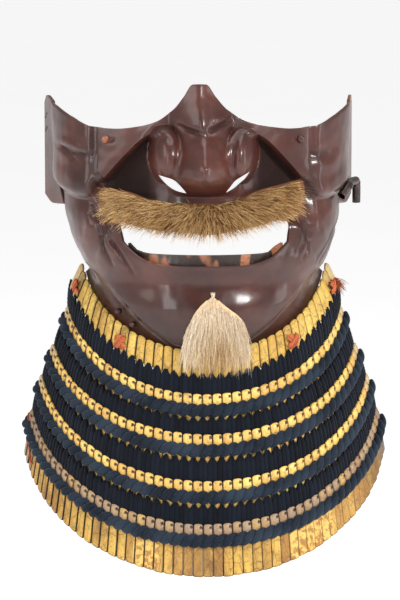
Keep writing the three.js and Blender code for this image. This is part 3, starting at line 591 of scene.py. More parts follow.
def hair(name, pale, middle, dark):
    """Strands that differ by tint, with painted shade towards their roots and on the backing under them."""
    s = Shader(name, Roughness=0.55, Specular_IOR_Level=0.35)
    base = s.ramp(s.attribute("tint"), (0.0, dark), (0.45, middle), (1.0, pale))
    # painted shade: darker towards the roots and on the backing plate
    base = s.over(base, dark, s.attribute("marks"), 0.0, 1.0, 0.85)
    base = s.over(base, dark, s.noise(900, 2), 0.45, 0.7, 0.35)
    return s.feed(Base_Color=base)


def old_metal(name, colour, worn, roughness, metallic):
    s = Shader(name, Metallic=metallic, Coat_Weight=0.2, Coat_Roughness=0.25)
    base = s.blend(s.ramp(s.noise(300, 5, 0.65), (0.45, 0.0), (0.68, 0.9)), colour, worn)
    gloss = s.ramp(s.noise(500, 3), (0.3, roughness - 0.1), (0.7, roughness + 0.12))
    return s.feed(Base_Color=base, Roughness=gloss, Normal=s.bump(s.noise(650, 3), 0.3, 0.0006))


def tooth_finish():
    """Black lacquer worn to orange-brown in broad patches, one or two to a tooth."""
    s = Shader("tooth_lacquer", Coat_Weight=0.3, Coat_Roughness=0.2)
    patch = s.noise(88, 2, 0.4, 0.3, s.place((1.0, 1.0, 0.4)))
    base = s.blend(s.ramp(patch, (0.50, 0.0), (0.56, 1.0)), srgb(38, 24, 18), srgb(168, 108, 74))
    base = s.over(base, srgb(60, 34, 22), s.noise(600, 4), 0.5, 0.7, 0.6)
    return s.feed(Base_Color=base, Roughness=s.ramp(s.noise(300, 2), (0.3, 0.3), (0.7, 0.5)),
                  Normal=s.bump(s.noise(500, 3), 0.3, 0.0006))


RUSSET = lacquer("russet_lacquer")
GOLD_TOP = gilding("gold_top", srgb(214, 178, 88), srgb(178, 138, 62), srgb(66, 42, 18), 0.8, 0.4,
                   srgb(190, 168, 128))
GOLD_HEADS = gilding("gold_heads", srgb(232, 194, 106), srgb(206, 160, 84), srgb(70, 44, 22), 0.4, 0.3,
                     srgb(176, 158, 134))
GOLD_WORN = gilding("gold_worn", srgb(206, 166, 78), srgb(160, 116, 54), srgb(92, 58, 34), 1.0, 1.0,
                    srgb(142, 122, 108))
INDIGO_LACE = silk("indigo_lace", srgb(3, 5, 9), srgb(11, 15, 24), srgb(20, 26, 38))
INDIGO_ROPE = silk("indigo_rope", srgb(10, 14, 21), srgb(28, 37, 49), srgb(44, 55, 68))
ORANGE = silk("orange_silk", srgb(110, 40, 22), srgb(178, 82, 50), srgb(196, 116, 76))
FUR = hair("hair_tan", srgb(244, 212, 156), srgb(196, 150, 90), srgb(92, 54, 26))
DOWN = hair("hair_cream", srgb(252, 244, 228), srgb(226, 198, 150), srgb(166, 114, 58))
IRON = old_metal("dark_iron", srgb(30, 17, 12), srgb(74, 42, 30), 0.4, 0.2)
COPPER = old_metal("worn_copper", srgb(140, 84, 60), srgb(82, 40, 28), 0.42, 0.4)
TOOTH = tooth_finish()


# ---- mask plate ----

OUTSIDE, INSIDE = 58, 78
ROWS = Sizes(under=14, chin=40, mouth=10, fold=28, cheek=26)


def neck_point(angle):
    turn = angle * NECK.end_angle / 90
    back = 1 - np.cos(turn)
    pull = mix(NECK.inset_middle, NECK.inset, np.sin(np.abs(turn)))
    half, front, depth, middle, rise = (LAMES[name][0] for name in ("half", "front", "depth", "middle", "rise"))
    return vec((half - pull) * np.sin(turn) + JAW_LEAN.shift, front + pull + (depth - pull) * back,
               middle - NECK.drop + rise * back)


def mask_angles():
    edge = math.radians(MASK.edge_angle)
    mouth = math.asin(MOUTH.half / half_at(LEVEL.mouth))
    left = np.linspace(-edge, -mouth, OUTSIDE + 1)
    return np.concatenate([left[:-1], np.linspace(-mouth, mouth, INSIDE + 1), -left[::-1][1:]])


def mask_heights(angles):
    """Heights of the rows above the jaw, one column for each angle."""
    reach = np.abs(np.sin(angles))
    jaw = jaw_at(np.degrees(np.abs(angles)))
    low, high = (mouth_edge(reach * half_at(LEVEL.mouth), which) for which in (-1, 1))
    top = mask_top_at(reach * half_at(LEVEL.top))
    margin = MASK.edge_margin
    edge = np.clip(cheek_edge_at(reach * half_at(LEVEL.cheek)), high + 2 * margin, top - margin)
    rows = []
    bands = ((jaw, low, "chin"), (low, high, "mouth"), (high, edge, "fold"), (edge, top, "cheek"))
    for start, end, band in bands:
        rows += [mix(start, end, t) for t in np.linspace(0, 1, ROWS[band] + 1)[1:]]
    return np.array(rows)


def mask_skin(angles, z):
    side = np.abs(np.sin(angles)) * half_at(z)
    covered = smooth(*SET_BACK.edge, side) * smooth(*SET_BACK.foot, z)
    place = face(angles, z, PLATE - SET_BACK.depth * covered, SET_BACK.raised * covered)
    x = np.sin(angles) * half_at(z)
    hammered = 0.16 * rough(place, 17, 3) + 0.08 * rough(place, 7, 4)
    return place + outward(angles, z) * (0.8 * near_lines(x, z, CREASES) + hammered)[..., None]


def mask_grid():
    angles = mask_angles()
    z = mask_heights(angles)
    above = mask_skin(angles[None, :] + 0 * z, z)
    jaw = mask_skin(angles, jaw_at(np.degrees(np.abs(angles))))
    neck = neck_point(angles)
    t = np.linspace(0, 1, ROWS.under + 1)[:, None, None]
    inward = outward(angles, jaw[:, 2]) * -NECK.groove
    under = mix(neck, jaw, t) + inward * np.sin(np.pi * t)
    grid = np.concatenate([under, above])
    steps = MASK.rim * np.linspace(1, 0, MASK.rim_columns + 1)[:-1]
    left = [grid[:, :1] + np.array([MASK.rim_lean * s, s, 0]) for s in steps]
    right = [grid[:, -1:] + np.array([-MASK.rim_lean * s, s, 0]) for s in steps[::-1]]
    return np.concatenate(left + [grid] + right, axis=1)


def flange(side):
    """The ear flange, which stands back and out from the rear edge of the cheek."""
    t, row = np.meshgrid(np.linspace(0, 1, 13), np.linspace(0, 1, 61))
    z = mix(curve(FLANGE_FOOT, "t", "z")(t), curve(FLANGE_TOP, "t", "z")(t), row)
    x = mix(half_at(z) + PLATE - FLANGE.sink, FLANGE.left if side < 0 else FLANGE.right, t)
    return vec(side * x, mix(side_at(z) - FLANGE.tuck, FLANGE.back, t), z)


def cut(thing, points, quads):
    """Cuts closed tubes out of a piece and applies the cut."""
    mesh = bpy.data.meshes.new("cutter")
    mesh.from_pydata((points * MM).tolist(), [], quads.tolist())
    fill_ends(mesh)
    cutter = put("cutter", mesh)
    modifier = thing.modifiers.new("cut", "BOOLEAN")
    modifier.operation = "DIFFERENCE"
    modifier.solver = "EXACT"
    modifier.object = cutter
    graph = bpy.context.evaluated_depsgraph_get()
    old = thing.data
    thing.data = bpy.data.meshes.new_from_object(thing.evaluated_get(graph))
    thing.data.name = thing.name
    thing.modifiers.clear()
    bpy.data.meshes.remove(old)
    bpy.data.objects.remove(cutter)


def fill_ends(mesh):
    work = bmesh.new()
    work.from_mesh(mesh)
    bmesh.ops.holes_fill(work, edges=[e for e in work.edges if e.is_boundary], sides=0)
    bmesh.ops.recalc_face_normals(work, faces=work.faces)
    work.to_mesh(mesh)
    work.free()


def absorb(thing, other):
    """Joins another piece's mesh into this one."""
    work = bmesh.new()
    work.from_mesh(thing.data)
    work.from_mesh(other.data)
    work.to_mesh(thing.data)
    work.free()
    bpy.data.objects.remove(other)


def make_flanges():
    parts = []
    for side in (-1, 1):
        outer = flange(side)
        parts.append(plate(outer, inset(outer, side * PLATE))[:2])
    points, quads = joined(*parts)
    tip = bell((points[:, 0] - FLANGE.right) / WORN_TIP.width)
    tip = tip * smooth(WORN_TIP.low, WORN_TIP.low + 5, points[:, 2])
    flanges = piece("flanges", points, quads, RUSSET, "russet_lacquer", tint=tip, marks=0)
    start, end = (vec(-FLANGE.left + reach, HOLES.y, HOLES.z) for reach in (-HOLE.reach, HOLE.reach))
    paths = np.stack([start, end], axis=1)
    cut(flanges, *tubes(paths, HOLE.radius, HOLE.radius, np.array([0.0, 0.0, 1.0]), HOLE.sides))
    return flanges


def make_mask():
    grid = mask_grid()
    rows, columns = grid.shape[0] - 1, grid.shape[1] - 1
    keep = np.ones((rows, columns), bool)
    first = ROWS.under + ROWS.chin
    left = MASK.rim_columns + OUTSIDE
    keep[first:first + ROWS.mouth, left:left + INSIDE] = False
    body = plate(grid, inset(grid, PLATE), keep)
    x, z = body[0][:, 0], body[0][:, 2]
    # dirt and painted shade: darker along the furrows and in the hollows below the cheek edge
    marks = np.clip(-near_lines(x, z, CREASES) * 0.38 + 0.75 * smooth(2, 7, -relief(x, z)), 0, 1)
    tip = bell((x - FLANGE.back) / WORN_TIP.width) * smooth(WORN_TIP.low, WORN_TIP.low + 4, z)
    quads = outside_out(*body[:2])
    mask = piece("mask", body[0], quads, RUSSET, "russet_lacquer", ["mask_plate"], tint=tip, marks=marks)
    absorb(mask, make_flanges())
    soften(mask, 0.45)
    return mask


# ---- nose plate ----

nose_top_at = curve(NOSE_TOP, "x", "z")
nose_foot_at = curve(NOSE_FOOT, "x", "z")
ridge_at = curve(NOSE_RIDGE, "z", "height")
ridge_half_at = curve(NOSE_RIDGE, "z", "half")


def nose_bulge(x, z):
    across = x - PEAK.shift * smooth(PEAK.start, PEAK.end, z)
    across = np.sqrt(across ** 2 + NOSE.crest ** 2) - NOSE.crest
    ridge = ridge_at(z) * np.maximum(1 - np.maximum(across / ridge_half_at(z), 0) ** NOSE.ridge_bend, 0)
    ball = ((np.abs(x) - WING.x) / WING.half) ** 2 + ((z - WING.z) / WING.reach) ** 2
    wing = WING.height * np.maximum(1 - ball, 0) ** WING.bend
    bare = 1 - smooth(0, WING.foot, np.maximum(ridge, wing))
    return soft_max(ridge, wing, WING.blend) - WING.blend / 4 * bare


def nose_lines(x, z):
    return near_lines(x, z, NOSE_CREASES)


def nose_point(x, z, lift=0.0):
    place = face_at(x, z, PLATE + NOSE.proud + lift)
    place = place + vec(0, -nose_bulge(x, z) - nose_lines(x, z), 0)
    return place + vec(0, 0.12 * rough(place, 15, 5) + 0.06 * rough(place, 6, 6), 0)


def make_nose():
    s = np.linspace(-1, 1, 181)
    x = NOSE.half * mix(s, s ** 3, NOSE.crowd)
    foot = nose_foot_at(np.abs(x))
    top = nose_top_at(np.abs(x - PEAK.shift * smooth(PEAK.reach, 0, np.abs(x))))
    edge = np.clip(cheek_edge_at(np.abs(x)), foot + MASK.edge_margin, top - MASK.edge_margin)
    rows = [mix(foot, edge, t) for t in np.linspace(0, 1, 71)]
    rows += [mix(edge, top, t) for t in np.linspace(0, 1, 29)[1:]]
    z = np.array(rows)
    grid = nose_point(x[None, :] + 0 * z, z)
    points, quads, _ = plate(grid, inset(grid, NOSE_PLATE))
    quads = outside_out(points, quads)
    px, pz = points[:, 0], points[:, 2]
    # dirt and painted shade: darker in the furrows and in the hollows beside the nose, off its bulge
    hollow = smooth(2, 7, -relief(px, pz)) * (1 - smooth(1, 5, nose_bulge(px, pz)))
    marks = np.clip(-nose_lines(px, pz) * 0.3 + 0.8 * hollow, 0, 1)
    nose = piece("nose", points, quads, RUSSET, "russet_lacquer", ["nose_plate"], tint=0, marks=marks)
    for slit in NOSTRILS:
        inner, outer = (np.array([slit[k][0], 0, slit[k][1]]) for k in ("inner", "outer"))
        t = np.linspace(0, 1, SLIT.points)
        line = mix(inner, outer, t[:, None])
        across = unit(np.cross(outer - inner, [0, 1, 0]))
        bow = (slit.bow * np.sin(np.pi * t))[:, None] * across
        ring = np.concatenate([line + bow, (line - bow)[::-1][1:-1]])
        points = np.concatenate([ring + [0, y, 0] for y in (SLIT.front, SLIT.back)])
        cut(nose, points, ring_quads(1, 2, len(ring)))
    soften(nose, 0.4)
    return nose


# ---- throat guard ----

LOWEST = len(LAMES.half) - 1


def lame_row(index):
    return Sizes((name, column[index]) for name, column in LAMES.items())


def lame_point(lame, angle, down, lift):
    back = 1 - np.cos(angle)
    spread = (lame.flare + lame.splay * back) * down + lift
    return vec((lame.half + spread) * np.sin(angle) + JAW_LEAN.shift,
               lame.front - spread + (lame.depth + spread) * back,
               lame.middle + lame.rise * back - down * (1 - LAME.end_short * back))


def lame_out(lame, angle):
    """The direction outwards from a row, level with the ground."""
    return unit(vec(np.sin(angle) * lame.depth, -np.cos(angle) * lame.half, 0 * angle))


def make_lame(index, material):
    """One row of scales: each a narrow plate with a domed head, a lacing hole and a worn foot, with painted
    shade between the scales, in the hole and at the foot.
    """
    lame = lame_row(index)
    count = int(lame.scales)
    edge = math.radians(LAME.end_angle)
    pitch = 2 * edge / count
    local = np.random.default_rng(SEED + index)
    u = np.linspace(-1, 1, SCALE.across)[None, None, :]
    s = (np.linspace(0, 1, SCALE.along) ** SCALE.crowd)[None, :, None]
    jitter = local.normal(0, 1, (3, count, 1, 1))
    angle = -edge + pitch * (np.arange(count)[:, None, None] + 0.5 + u * SCALE.share)
    corner = 1 - np.sqrt(np.maximum(1 - np.abs(u) ** (3.0 if index else 2.6), 0))
    top = SCALE.top + SCALE_HEAD["round" if index else "first_round"] * corner + SCALE.uneven * jitter[0]
    foot = lame.height - (0.3 if index == LOWEST else 1.2) * corner + SCALE.uneven * (jitter[1] - 1)
    depth = top + (foot - top) * s
    below = smooth(*SCALE_HEAD.below, depth) if index else 0 * depth
    ridge = np.maximum(1 - np.abs(u) ** 3, 0) ** 0.6
    height = mix(SCALE_HEAD["height" if index else "first_height"], SCALE_HEAD.foot, below)
    rising = mix(0.3, 1, smooth(0, 1.5, depth - top))
    leaning = 0.3 * u * mix(0.5, 1, below)
    lift = -SCALE.sunk + height * ridge * rising + leaning + 0.12 * jitter[2]
    hole = np.hypot((u - SCALE_HOLE.u) * SCALE_HOLE.stretch, depth - SCALE_HOLE.down)
    hole = hole if index else np.full(depth.shape, np.inf)
    lift = lift - bell(hole / SCALE_HOLE.radius)
    outer = lame_point(lame, angle + 0 * depth, depth, lift)
    inner = lame_point(lame, angle + 0 * depth, depth, 0 * lift - LAME.thick)
    # painted shade along the scales' side edges where they overlap, in the lacing holes and at each foot, mixed
    # with dirt
    marks = np.maximum(smooth(0.86, 1.0, np.abs(u)) + 0 * depth, smooth(*SCALE_HOLE.dark, hole))
    marks = np.maximum(marks, 0.45 * smooth(foot - 0.7, foot, depth))
    wear = np.clip(0.35 + 0.35 * local.normal(size=(count, 1, 1)) + 0 * depth, 0, 1)
    degrees = np.degrees(angle) + 0 * depth
    pale = 0.8 * smooth(70, 78, np.abs(degrees))
    leaf = 0 * depth
    if index == LOWEST:
        pale = np.maximum(pale, (0.25 + 0.65 * local.uniform(size=(count, 1, 1)) ** 0.6) * (1 - below))
        wear = np.clip(wear + 0.5 * smooth(30, 55, degrees) * below, 0, 1)
        marks = np.maximum(marks, 0.45 * smooth(48, 70, degrees) * below)
        for centre, half in zip(LEAF_PATCHES.angle, LEAF_PATCHES.half):
            leaf = np.maximum(leaf, (np.abs(degrees - centre) < half) * below)
    parts, kept_all = [], []
    for k in range(count):
        points, quads, kept = plate(outer[k], inner[k])
        parts.append((points, quads))
        kept_all.append(kept)

    def spread(values):
        return np.concatenate([np.tile(values[k].ravel(), 2)[kept_all[k]] for k in range(count)])

    return piece(f"scales_{index + 1}", *joined(*parts), material, "gold_lacquer", [f"lame_{index + 1}"],
                 tint=spread(wear), marks=spread(marks), pale=spread(pale), leaf=spread(leaf))


def make_rope(index):
    """The twisted rope along a row: two thick strands, each of yarns that show as fine ridges."""
    lame = lame_row(index)
    count = int(lame.scales)
    edge = math.radians(LAME.end_angle)
    rings = count * ROPE.rings + 1
    angle = np.linspace(-edge, edge, rings)
    middle = (ROPE.start + ROPE.end) / 2
    turn = np.linspace(0, np.pi * count, rings)
    uneven = 0.12 * np.sin(turn * 0.37 + index)
    paths = []
    for phase in (0, np.pi):
        down = middle + (ROPE.swing + uneven) * np.cos(turn + phase)
        lift = ROPE.lift + ROPE.bulge * np.sin(turn + phase)
        paths.append(lame_point(lame, angle, down, lift))
    out = np.stack([lame_out(lame, angle)] * 2)
    points, quads = tubes(np.array(paths), ROPE.wide, ROPE.deep, out, ROPE.sides)
    tint = np.clip(0.25 + 0.4 * rough(points, 23, 30 + index), 0, 1)
    return piece(f"rope_braid_{index + 1}", points, quads, INDIGO_ROPE, "indigo_silk", [f"rope_{index + 1}"],
                 tint=tint, marks=0)


def make_laces(index):
    """The upright laces between two rows. A pair comes out together at each joint between two scales and
    opens into an arch, so that the gold shows between the arches."""
    lame, below = lame_row(index), lame_row(index + 1)
    count = int(below.scales)
    edge = math.radians(LAME.end_angle)
    pitch = 2 * edge / count
    local = np.random.default_rng(SEED + 20 + index)
    start_down = LACES.first if index == 0 else ROPE.end
    t = np.linspace(0, 1, LACES.rings)
    opened = smooth(-0.06, 0.26, t)
    paths, outs = [], []
    for k in range(count + 1):
        for side in (-1, 1):
            angle = np.clip(-edge + pitch * (k + side * (LACES.closed + LACES.opened * opened)), -edge, edge)
            start = lame_point(lame, angle, start_down + 0.5 * abs(local.normal()), 0.6)
            end = lame_point(below, angle, LACES.tuck, -LAME.thick - GAP - 0.4)
            bow = np.sin(np.pi * t)[:, None] * (0.5 + 0.15 * local.normal())
            paths.append(mix(start, end, t[:, None]) + bow * lame_out(lame, angle))
            outs.append(lame_out(lame, angle))
    thick = 1 + 0.09 * np.sin(t * 46)
    wide = LACES.wide * mix(0.22, 1, opened) * thick
    deep = LACES.deep * mix(0.5, 1, opened) * thick
    points, quads = tubes(np.array(paths), wide, deep, np.array(outs), LACES.sides)
    tint = repeat(local.uniform(0, 0.7, len(paths)), LACES.rings * LACES.sides)
    return piece(f"lacing_{index + 1}", points, quads, INDIGO_LACE, "indigo_silk", [f"laces_{index + 1}"],
                 tint=tint, marks=0)


def make_knot(number, degrees):
    """A cross knot of orange cord over the top row, four passes each way."""
    lame = lame_row(0)
    angle = math.radians(degrees)
    out = lame_out(lame, np.array(angle))
    up = np.array([0.0, 0.0, 1.0])
    right = np.cross(up, out)
    centre = lame_point(lame, angle, KNOT.down, KNOT.lift)
    local = np.random.default_rng(SEED + 40 + number)
    t = np.linspace(-1, 1, KNOT.points)
    paths = []
    for way in (-1, 1):
        along = unit(right * way + up)
        across = np.cross(out, along)
        for k in range(KNOT.passes):
            aside = k - (KNOT.passes - 1) / 2
            bulge = KNOT.bulge * np.sqrt(np.maximum(1 - t ** 2 * 0.92, 0)) + 0.5 * (way > 0)
            reach = KNOT.reach - 0.35 * abs(aside) + local.normal(0, 0.2)
            path = centre + across * aside * KNOT.gap + out * (bulge - 1.4)[:, None]
            paths.append(path + along * (t * reach)[:, None])
    points, quads = tubes(np.array(paths), KNOT.wide, KNOT.deep, out, KNOT.sides)
    tint = repeat(local.uniform(0, 0.8, len(paths)), KNOT.points * KNOT.sides)
    return piece(f"cross_knot_{number}", points, quads, ORANGE, "orange_silk", [f"knot_{number}"],
                 tint=tint, marks=0)


# ---- hair ----

def strands(roots, ways, lengths, droop, thick, outs, curl, steps=STRAND.points):
    """Tapered strands from their roots, and how near each point is to its root. droop pulls each tip down by a
    share of its length, and curl bends the strand at random."""
    sides = STRAND.sides
    t = np.linspace(0, 1, steps)
    paths = roots[:, None] + ways[:, None] * (lengths[:, None] * t)[..., None]
    paths = paths + np.array([0, 0, -1]) * (droop * lengths)[:, None, None] * (t * t)[None, :, None]
    swing = rng.normal(0, curl, (len(roots), 1, 3)) * (t * t)[None, :, None]
    paths = paths + swing * lengths[:, None, None]
    width = thick[:, None] * (1 - STRAND.taper * t[None, :] ** 1.5)
    points, quads = tubes(paths, width, width, outs[:, None, :], sides)
    return points, quads, np.tile(np.repeat(1 - t, sides), len(roots))


def make_moustache():
    hairs, ends = MOUSTACHE_HAIR, (MOUSTACHE.x[0], MOUSTACHE.x[-1])
    low, high, out = (curve(MOUSTACHE, "x", name) for name in ("low", "high", "out"))
    count = hairs.count
    x = rng.uniform(ends[0] + hairs.margin, ends[1] - hairs.margin, count)
    s = rng.uniform(*hairs.rows, count)
    z = mix(low(x), high(x), s)
    roots = over_face(x, z, hairs.lift + out(x) * 0.25 * rng.uniform(0.6, 1.6, count))
    normal = outward(angle_of(x, z), z)
    side = np.clip((x - hairs.middle) / hairs.reach, -1, 1)
    sweep = np.abs(side) ** 0.7 * np.sign(side)
    way = vec(sweep, 0, -0.75 + 0.62 * np.abs(sweep) + 1.1 * (s - 0.55))
    rising = normal * (0.55 + 0.25 * np.sin(np.pi * s))[:, None]
    way = unit(way + rising + rng.normal(0, hairs.loose, (count, 3)))
    length = rng.uniform(*hairs.length, count) * (0.78 + 0.25 * np.sin(np.pi * s))
    length = length * smooth(0, 9, np.minimum(x - ends[0], ends[1] - x) + 4)
    droop = np.full(count, hairs.droop)
    thick = rng.uniform(*hairs.thick, count)
    points, quads, root = strands(roots, way, length, droop, thick, normal, hairs.curl)
    tint = repeat(np.clip(rng.beta(1.4, 1.2, count) + 0.08 * rough(roots, 14, 8), 0, 1), STRAND_POINTS)
    ribs = np.linspace(0, 1, 12)
    bx = np.linspace(ends[0] + 3, ends[1] - 3, 60)
    bz = np.array([mix(low(bx) + 1.4, high(bx) - 1.2, t) for t in ribs])
    bulge = np.sin(np.pi * ribs)[:, None] ** 0.5
    outer = over_face(bx + 0 * bz, bz, hairs.lift + out(bx) * 0.42 * bulge)
    inner = over_face(bx + 0 * bz, bz, hairs.lift + 0 * bz - 0.2)
    base = plate(outer, inner)[:2]
    tint = np.concatenate([tint, np.zeros(len(base[0]))])
    # painted shade: strands darker towards their roots, and a dark backing plate under the hair
    dark = np.concatenate([root ** 2.2, np.ones(len(base[0])) * 0.7])
    return piece("moustache_hair", *joined((points, quads), base), FUR, "hair_tan", ["moustache"], tint=tint,
                 marks=dark)


def tuft_skin(x, z):
    """The plate under the tuft, and the plane in which it hangs below the chin."""
    hairs = TUFT_HAIR
    place = face_at(x, np.maximum(z, hairs.hang_from), PLATE + hairs.lift)
    return vec(place[..., 0], place[..., 1] + np.minimum(z - hairs.hang_from, 0) * hairs.hang_lean, z)


def make_tuft():
    hairs, count = TUFT_HAIR, TUFT_HAIR.count
    left, right, out = (curve(TUFT, "z", name) for name in ("left", "right", "out"))
    s = rng.uniform(0, 1, count) ** 0.8
    z = mix(*hairs.rows, s)
    u = rng.uniform(-1, 1, count)
    middle = (left(z) + right(z)) / 2
    half = (right(z) - left(z)) / 2 - 2.6
    x = middle + u * half
    layer = rng.uniform(0.1, 1, count)
    roots = tuft_skin(x, z) + vec(0, -out(z) * 0.7 * layer * (1 - 0.55 * u * u), 0)
    way = vec(0.36 * u * (1.2 - 1.1 * s) + 0.02, -0.28 * layer + 0.1, -1)
    way = unit(way + rng.normal(0, hairs.loose, (count, 3)))
    reach = rng.uniform(*hairs.length, count)
    short = z - hairs.tips - 5 * np.abs(u) + rng.uniform(-4, 1.5, count)
    reach = np.where(z - reach < hairs.tips + 0.5, np.maximum(short, 4), reach)
    thick = rng.uniform(*hairs.thick, count)
    normal = np.broadcast_to(np.array([0.0, -1.0, 0.0]), roots.shape)
    points, quads, root = strands(roots, way, reach, 0 * u, thick, normal, hairs.curl)
    warm = bell((z - 1) / 9) * bell(u / 0.6)
    tint = 0.78 - 0.75 * warm * rng.uniform(0.3, 1, count) + rng.normal(0, 0.12, count)
    tint = repeat(np.clip(tint, 0, 1), STRAND_POINTS)
    rows = np.linspace(-8, 20, 12)
    across = np.linspace(-1, 1, 18)
    gz = rows[:, None] + 0 * across[None, :]
    half = (right(gz) - left(gz)) / 2 - 4.5 + 2.5 * smooth(0, 16, gz)
    gx = (left(gz) + right(gz)) / 2 + across[None, :] * half
    outer = tuft_skin(gx, gz) + vec(0, -out(gz) * 0.45 * np.sqrt(1 - across ** 2 * 0.9), 0)
    base = plate(outer, tuft_skin(gx, gz))[:2]
    tint = np.concatenate([tint, np.full(len(base[0]), 0.5)])
    # painted shade: strands a little darker towards their roots, and the backing plate under the hair darker
    dark = np.concatenate([0.25 * root ** 2, np.full(len(base[0]), 0.3)])
    return piece("chin_hair", *joined((points, quads), base), DOWN, "hair_cream", ["chin_tuft"], tint=tint,
                 marks=dark)


# ---- small hard pieces ----

def dome(name, centre, out, radius, height, material, slot, node):
    """A hammered rivet head."""
    out = unit(np.asarray(out, float))
    side = unit(np.cross(out, [0, 0, 1.0]))
    up = np.cross(side, out)
    profile = [(0.02, -0.6), (1, -0.6), (1.02, 0.1), (0.96, 0.42), (0.78, 0.76), (0.45, 0.96), (0.02, 1)]
    turn = np.linspace(0, 2 * np.pi, 28, endpoint=False)
    rings = [centre + (side * np.cos(a)[:, None] + up * np.sin(a)[:, None]) * r * radius + out * h * height
             for (r, h), a in ((row, turn) for row in profile)]
    quads = ring_quads(1, len(profile), len(turn))
    points = np.concatenate(rings)
    points = points + out * (0.08 * radius * rough(points, 2.6, 12))[:, None]
    return piece(name, points, outside_out(points, quads), material, slot, [node], tint=0, marks=0)


def make_studs():
    studs = ((-1, "left", COPPER, "stud_copper"), (1, "right", RUSSET, "russet_lacquer"))
    for side, name, material, slot in studs:
        x = side * STUD.x
        foot = nose_point(np.array([x]), np.array([STUD.z]))[0]
        out = outward(angle_of(np.array([x]), np.array([STUD.z])), np.array([STUD.z]))[0]
        dome(f"rivet_{name}", foot + out * GAP, out, STUD.radius, STUD.height, material, slot,
             f"nose_stud_{name}")


def make_pegs():
    for name in ("outer", "inner"):
        angle = np.array([math.radians(PEG[name])])
        jaw = face(angle, jaw_at(np.abs(PEG[name])), np.array([PLATE]))
        root = mix(neck_point(angle), jaw, 0.5)
        out = outward(angle, root[:, 2])[0]
        dome(f"peg_{name}", root[0] + out * PEG.proud, out, PEG.radius, PEG.height, RUSSET,
             "russet_lacquer", f"jaw_peg_{name}")


def make_hook():
    """The square-bent hook that the tying cord goes round, with its riveted tail."""
    z, radius = HOOK.z, HOOK.radius
    lift = np.array([PLATE + 2 * GAP + radius])
    turns = np.radians(HOOK.angles)
    tail = face(turns[:1], np.array([z - HOOK.tail]), lift)[0]
    root = face(turns[1:], np.array([z]), lift)[0]
    x, y = HOOK.elbow
    corners = np.array([tail, root, (*HOOK.bend, z), (x, y, z), (x, y + 1, z - HOOK.drop)])
    path = []
    for start, end in zip(corners[:-1], corners[1:]):
        path += [mix(start, end, t) for t in (0.08, 0.35, 0.65, 0.92)]
    path = np.array([corners[0], *path, corners[-1]])
    points, quads = tubes(path[None], radius, radius * 0.9, np.array([0.3, -0.5, 0.6]), 12)
    return piece("hook", points, quads, IRON, "dark_iron", ["cord_hook"])


def make_threads():
    """The frayed end of a broken tie at the right end of the top row, and the tie at the left end of the lowest
    row, whose two ends are tucked behind the scales."""
    lame = lame_row(0)
    local = np.random.default_rng(SEED + 60)
    count = 90
    angle = np.radians(local.uniform(76, 79, count))
    roots = lame_point(lame, angle, local.uniform(8, 11, count), 0.4)
    ways = unit(np.array([0.75, -0.35, -0.25]) + local.normal(0, 0.3, (count, 3)))
    outs = np.broadcast_to(np.array([0.0, -1.0, 0.0]), roots.shape)
    length = local.uniform(3.5, 7.5, count)
    frayed = strands(roots, ways, length, np.full(count, 0.35), np.full(count, 0.2), outs, 0.12, 7)
    piece("frayed_tie", *frayed[:2], ORANGE, "orange_silk", tint=0.7, marks=0)
    t = np.linspace(0, 1, 19)
    low = lame_row(4)
    angle = np.radians(mix(-79.6, -69, t ** 1.3))
    path = lame_point(low, angle, mix(2, 20, t), 0.9 - 2.2 * (t < 0.03) - 2.2 * (t > 0.97))
    points, quads = tubes(path[None], 0.6, 0.5, lame_out(low, angle)[None], 8)
    piece("end_tie", points, quads, ORANGE, "orange_silk", tint=0.1, marks=0.15)


# ---- stage ----

CAMERA = Sizes(azimuth=-1.2, elevation=8.0, distance=1500, target=(-1.45, 20, 15.3), lens=173.08, sensor=36,
              clip_end=200)
FLOOR = Sizes(size=90, drop=0.25, glow=0.62)
WORLD_LIGHT = 0.35
LAMP_AIM = (0, 0.02, 0.02)
LAMPS = (
    ("key", (0.75, -0.95, 0.70), (0.26, 0.26), 17),
    ("strip", (-0.75, -1.05, 0.25), (0.16, 1.0), 5),
    ("side", (1.25, -0.1, 0.2), (0.3, 0.9), 4),
    ("left", (-1.3, -0.4, 0.6), (0.9, 0.9), 9),
    ("top", (0.0, 0.0, 1.4), (1.0, 1.0), 10),
)


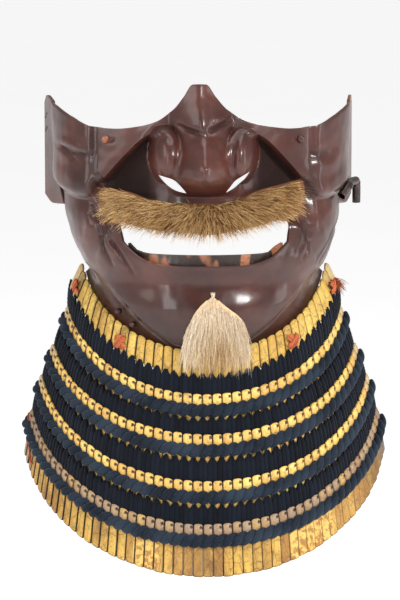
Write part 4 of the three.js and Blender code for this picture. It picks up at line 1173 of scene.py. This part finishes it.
def make_stage():
    scene = bpy.context.scene
    scene.view_settings.view_transform = "Standard"
    azimuth, elevation = (math.radians(CAMERA[name]) for name in ("azimuth", "elevation"))
    back = Vector((math.sin(azimuth) * math.cos(elevation), -math.cos(azimuth) * math.cos(elevation),
                   math.sin(elevation)))
    camera = put("camera", bpy.data.cameras.new("camera"))
    camera.data.lens = CAMERA.lens
    camera.data.sensor_width = CAMERA.sensor
    camera.location = (Vector(CAMERA.target) + back * CAMERA.distance) * MM
    camera.rotation_euler = (-back).to_track_quat("-Z", "Y").to_euler()
    camera.data.clip_end = CAMERA.clip_end
    scene.camera = camera

    mesh = bpy.data.meshes.new("floor")
    size, low = FLOOR.size, CAD_BOX[0][2] - FLOOR.drop
    corners = [(-size, -size, low), (size, -size, low), (size, size, low), (-size, size, low)]
    mesh.from_pydata(corners, [], [(0, 1, 2, 3)])
    floor = put("floor", mesh)
    pale = Shader("floor_paper", Roughness=0.9, Specular_IOR_Level=0.1, Emission_Strength=FLOOR.glow)
    pale.surface.inputs["Emission Color"].default_value = (1, 1, 1, 1)
    mesh.materials.append(pale.feed(Base_Color=pale.ramp(pale.noise(3), (0.3, 0.84), (0.7, 0.87))))

    for row in LAMPS:
        lamp(*row)
    world = bpy.data.worlds.new("studio")
    world.use_nodes = True
    world.node_tree.nodes["Background"].inputs["Color"].default_value = (1, 1, 1, 1)
    world.node_tree.nodes["Background"].inputs["Strength"].default_value = WORLD_LIGHT
    scene.world = world


def lamp(name, place, size, power):
    light = bpy.data.lights.new(name, "AREA")
    light.shape = "RECTANGLE"
    light.size, light.size_y = size
    light.energy = power
    thing = put(name, light)
    thing.location = place
    aim = Vector(LAMP_AIM) - Vector(place)
    thing.rotation_euler = aim.to_track_quat("-Z", "Y").to_euler()


# ---- assembly ----

make_stage()
make_mask()
make_nose()
make_studs()
make_pegs()
make_hook()
make_moustache()
make_tuft()
make_threads()
for index, finish in enumerate((GOLD_TOP, GOLD_HEADS, GOLD_HEADS, GOLD_HEADS, GOLD_WORN)):
    make_lame(index, finish)
    if index:
        make_rope(index)
        make_laces(index - 1)
for number, turned in enumerate(KNOT_ANGLES, start=1):
    make_knot(number, turned)

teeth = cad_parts["teeth_row"]
teeth.data.materials.clear()
teeth.data.materials.append(TOOTH)
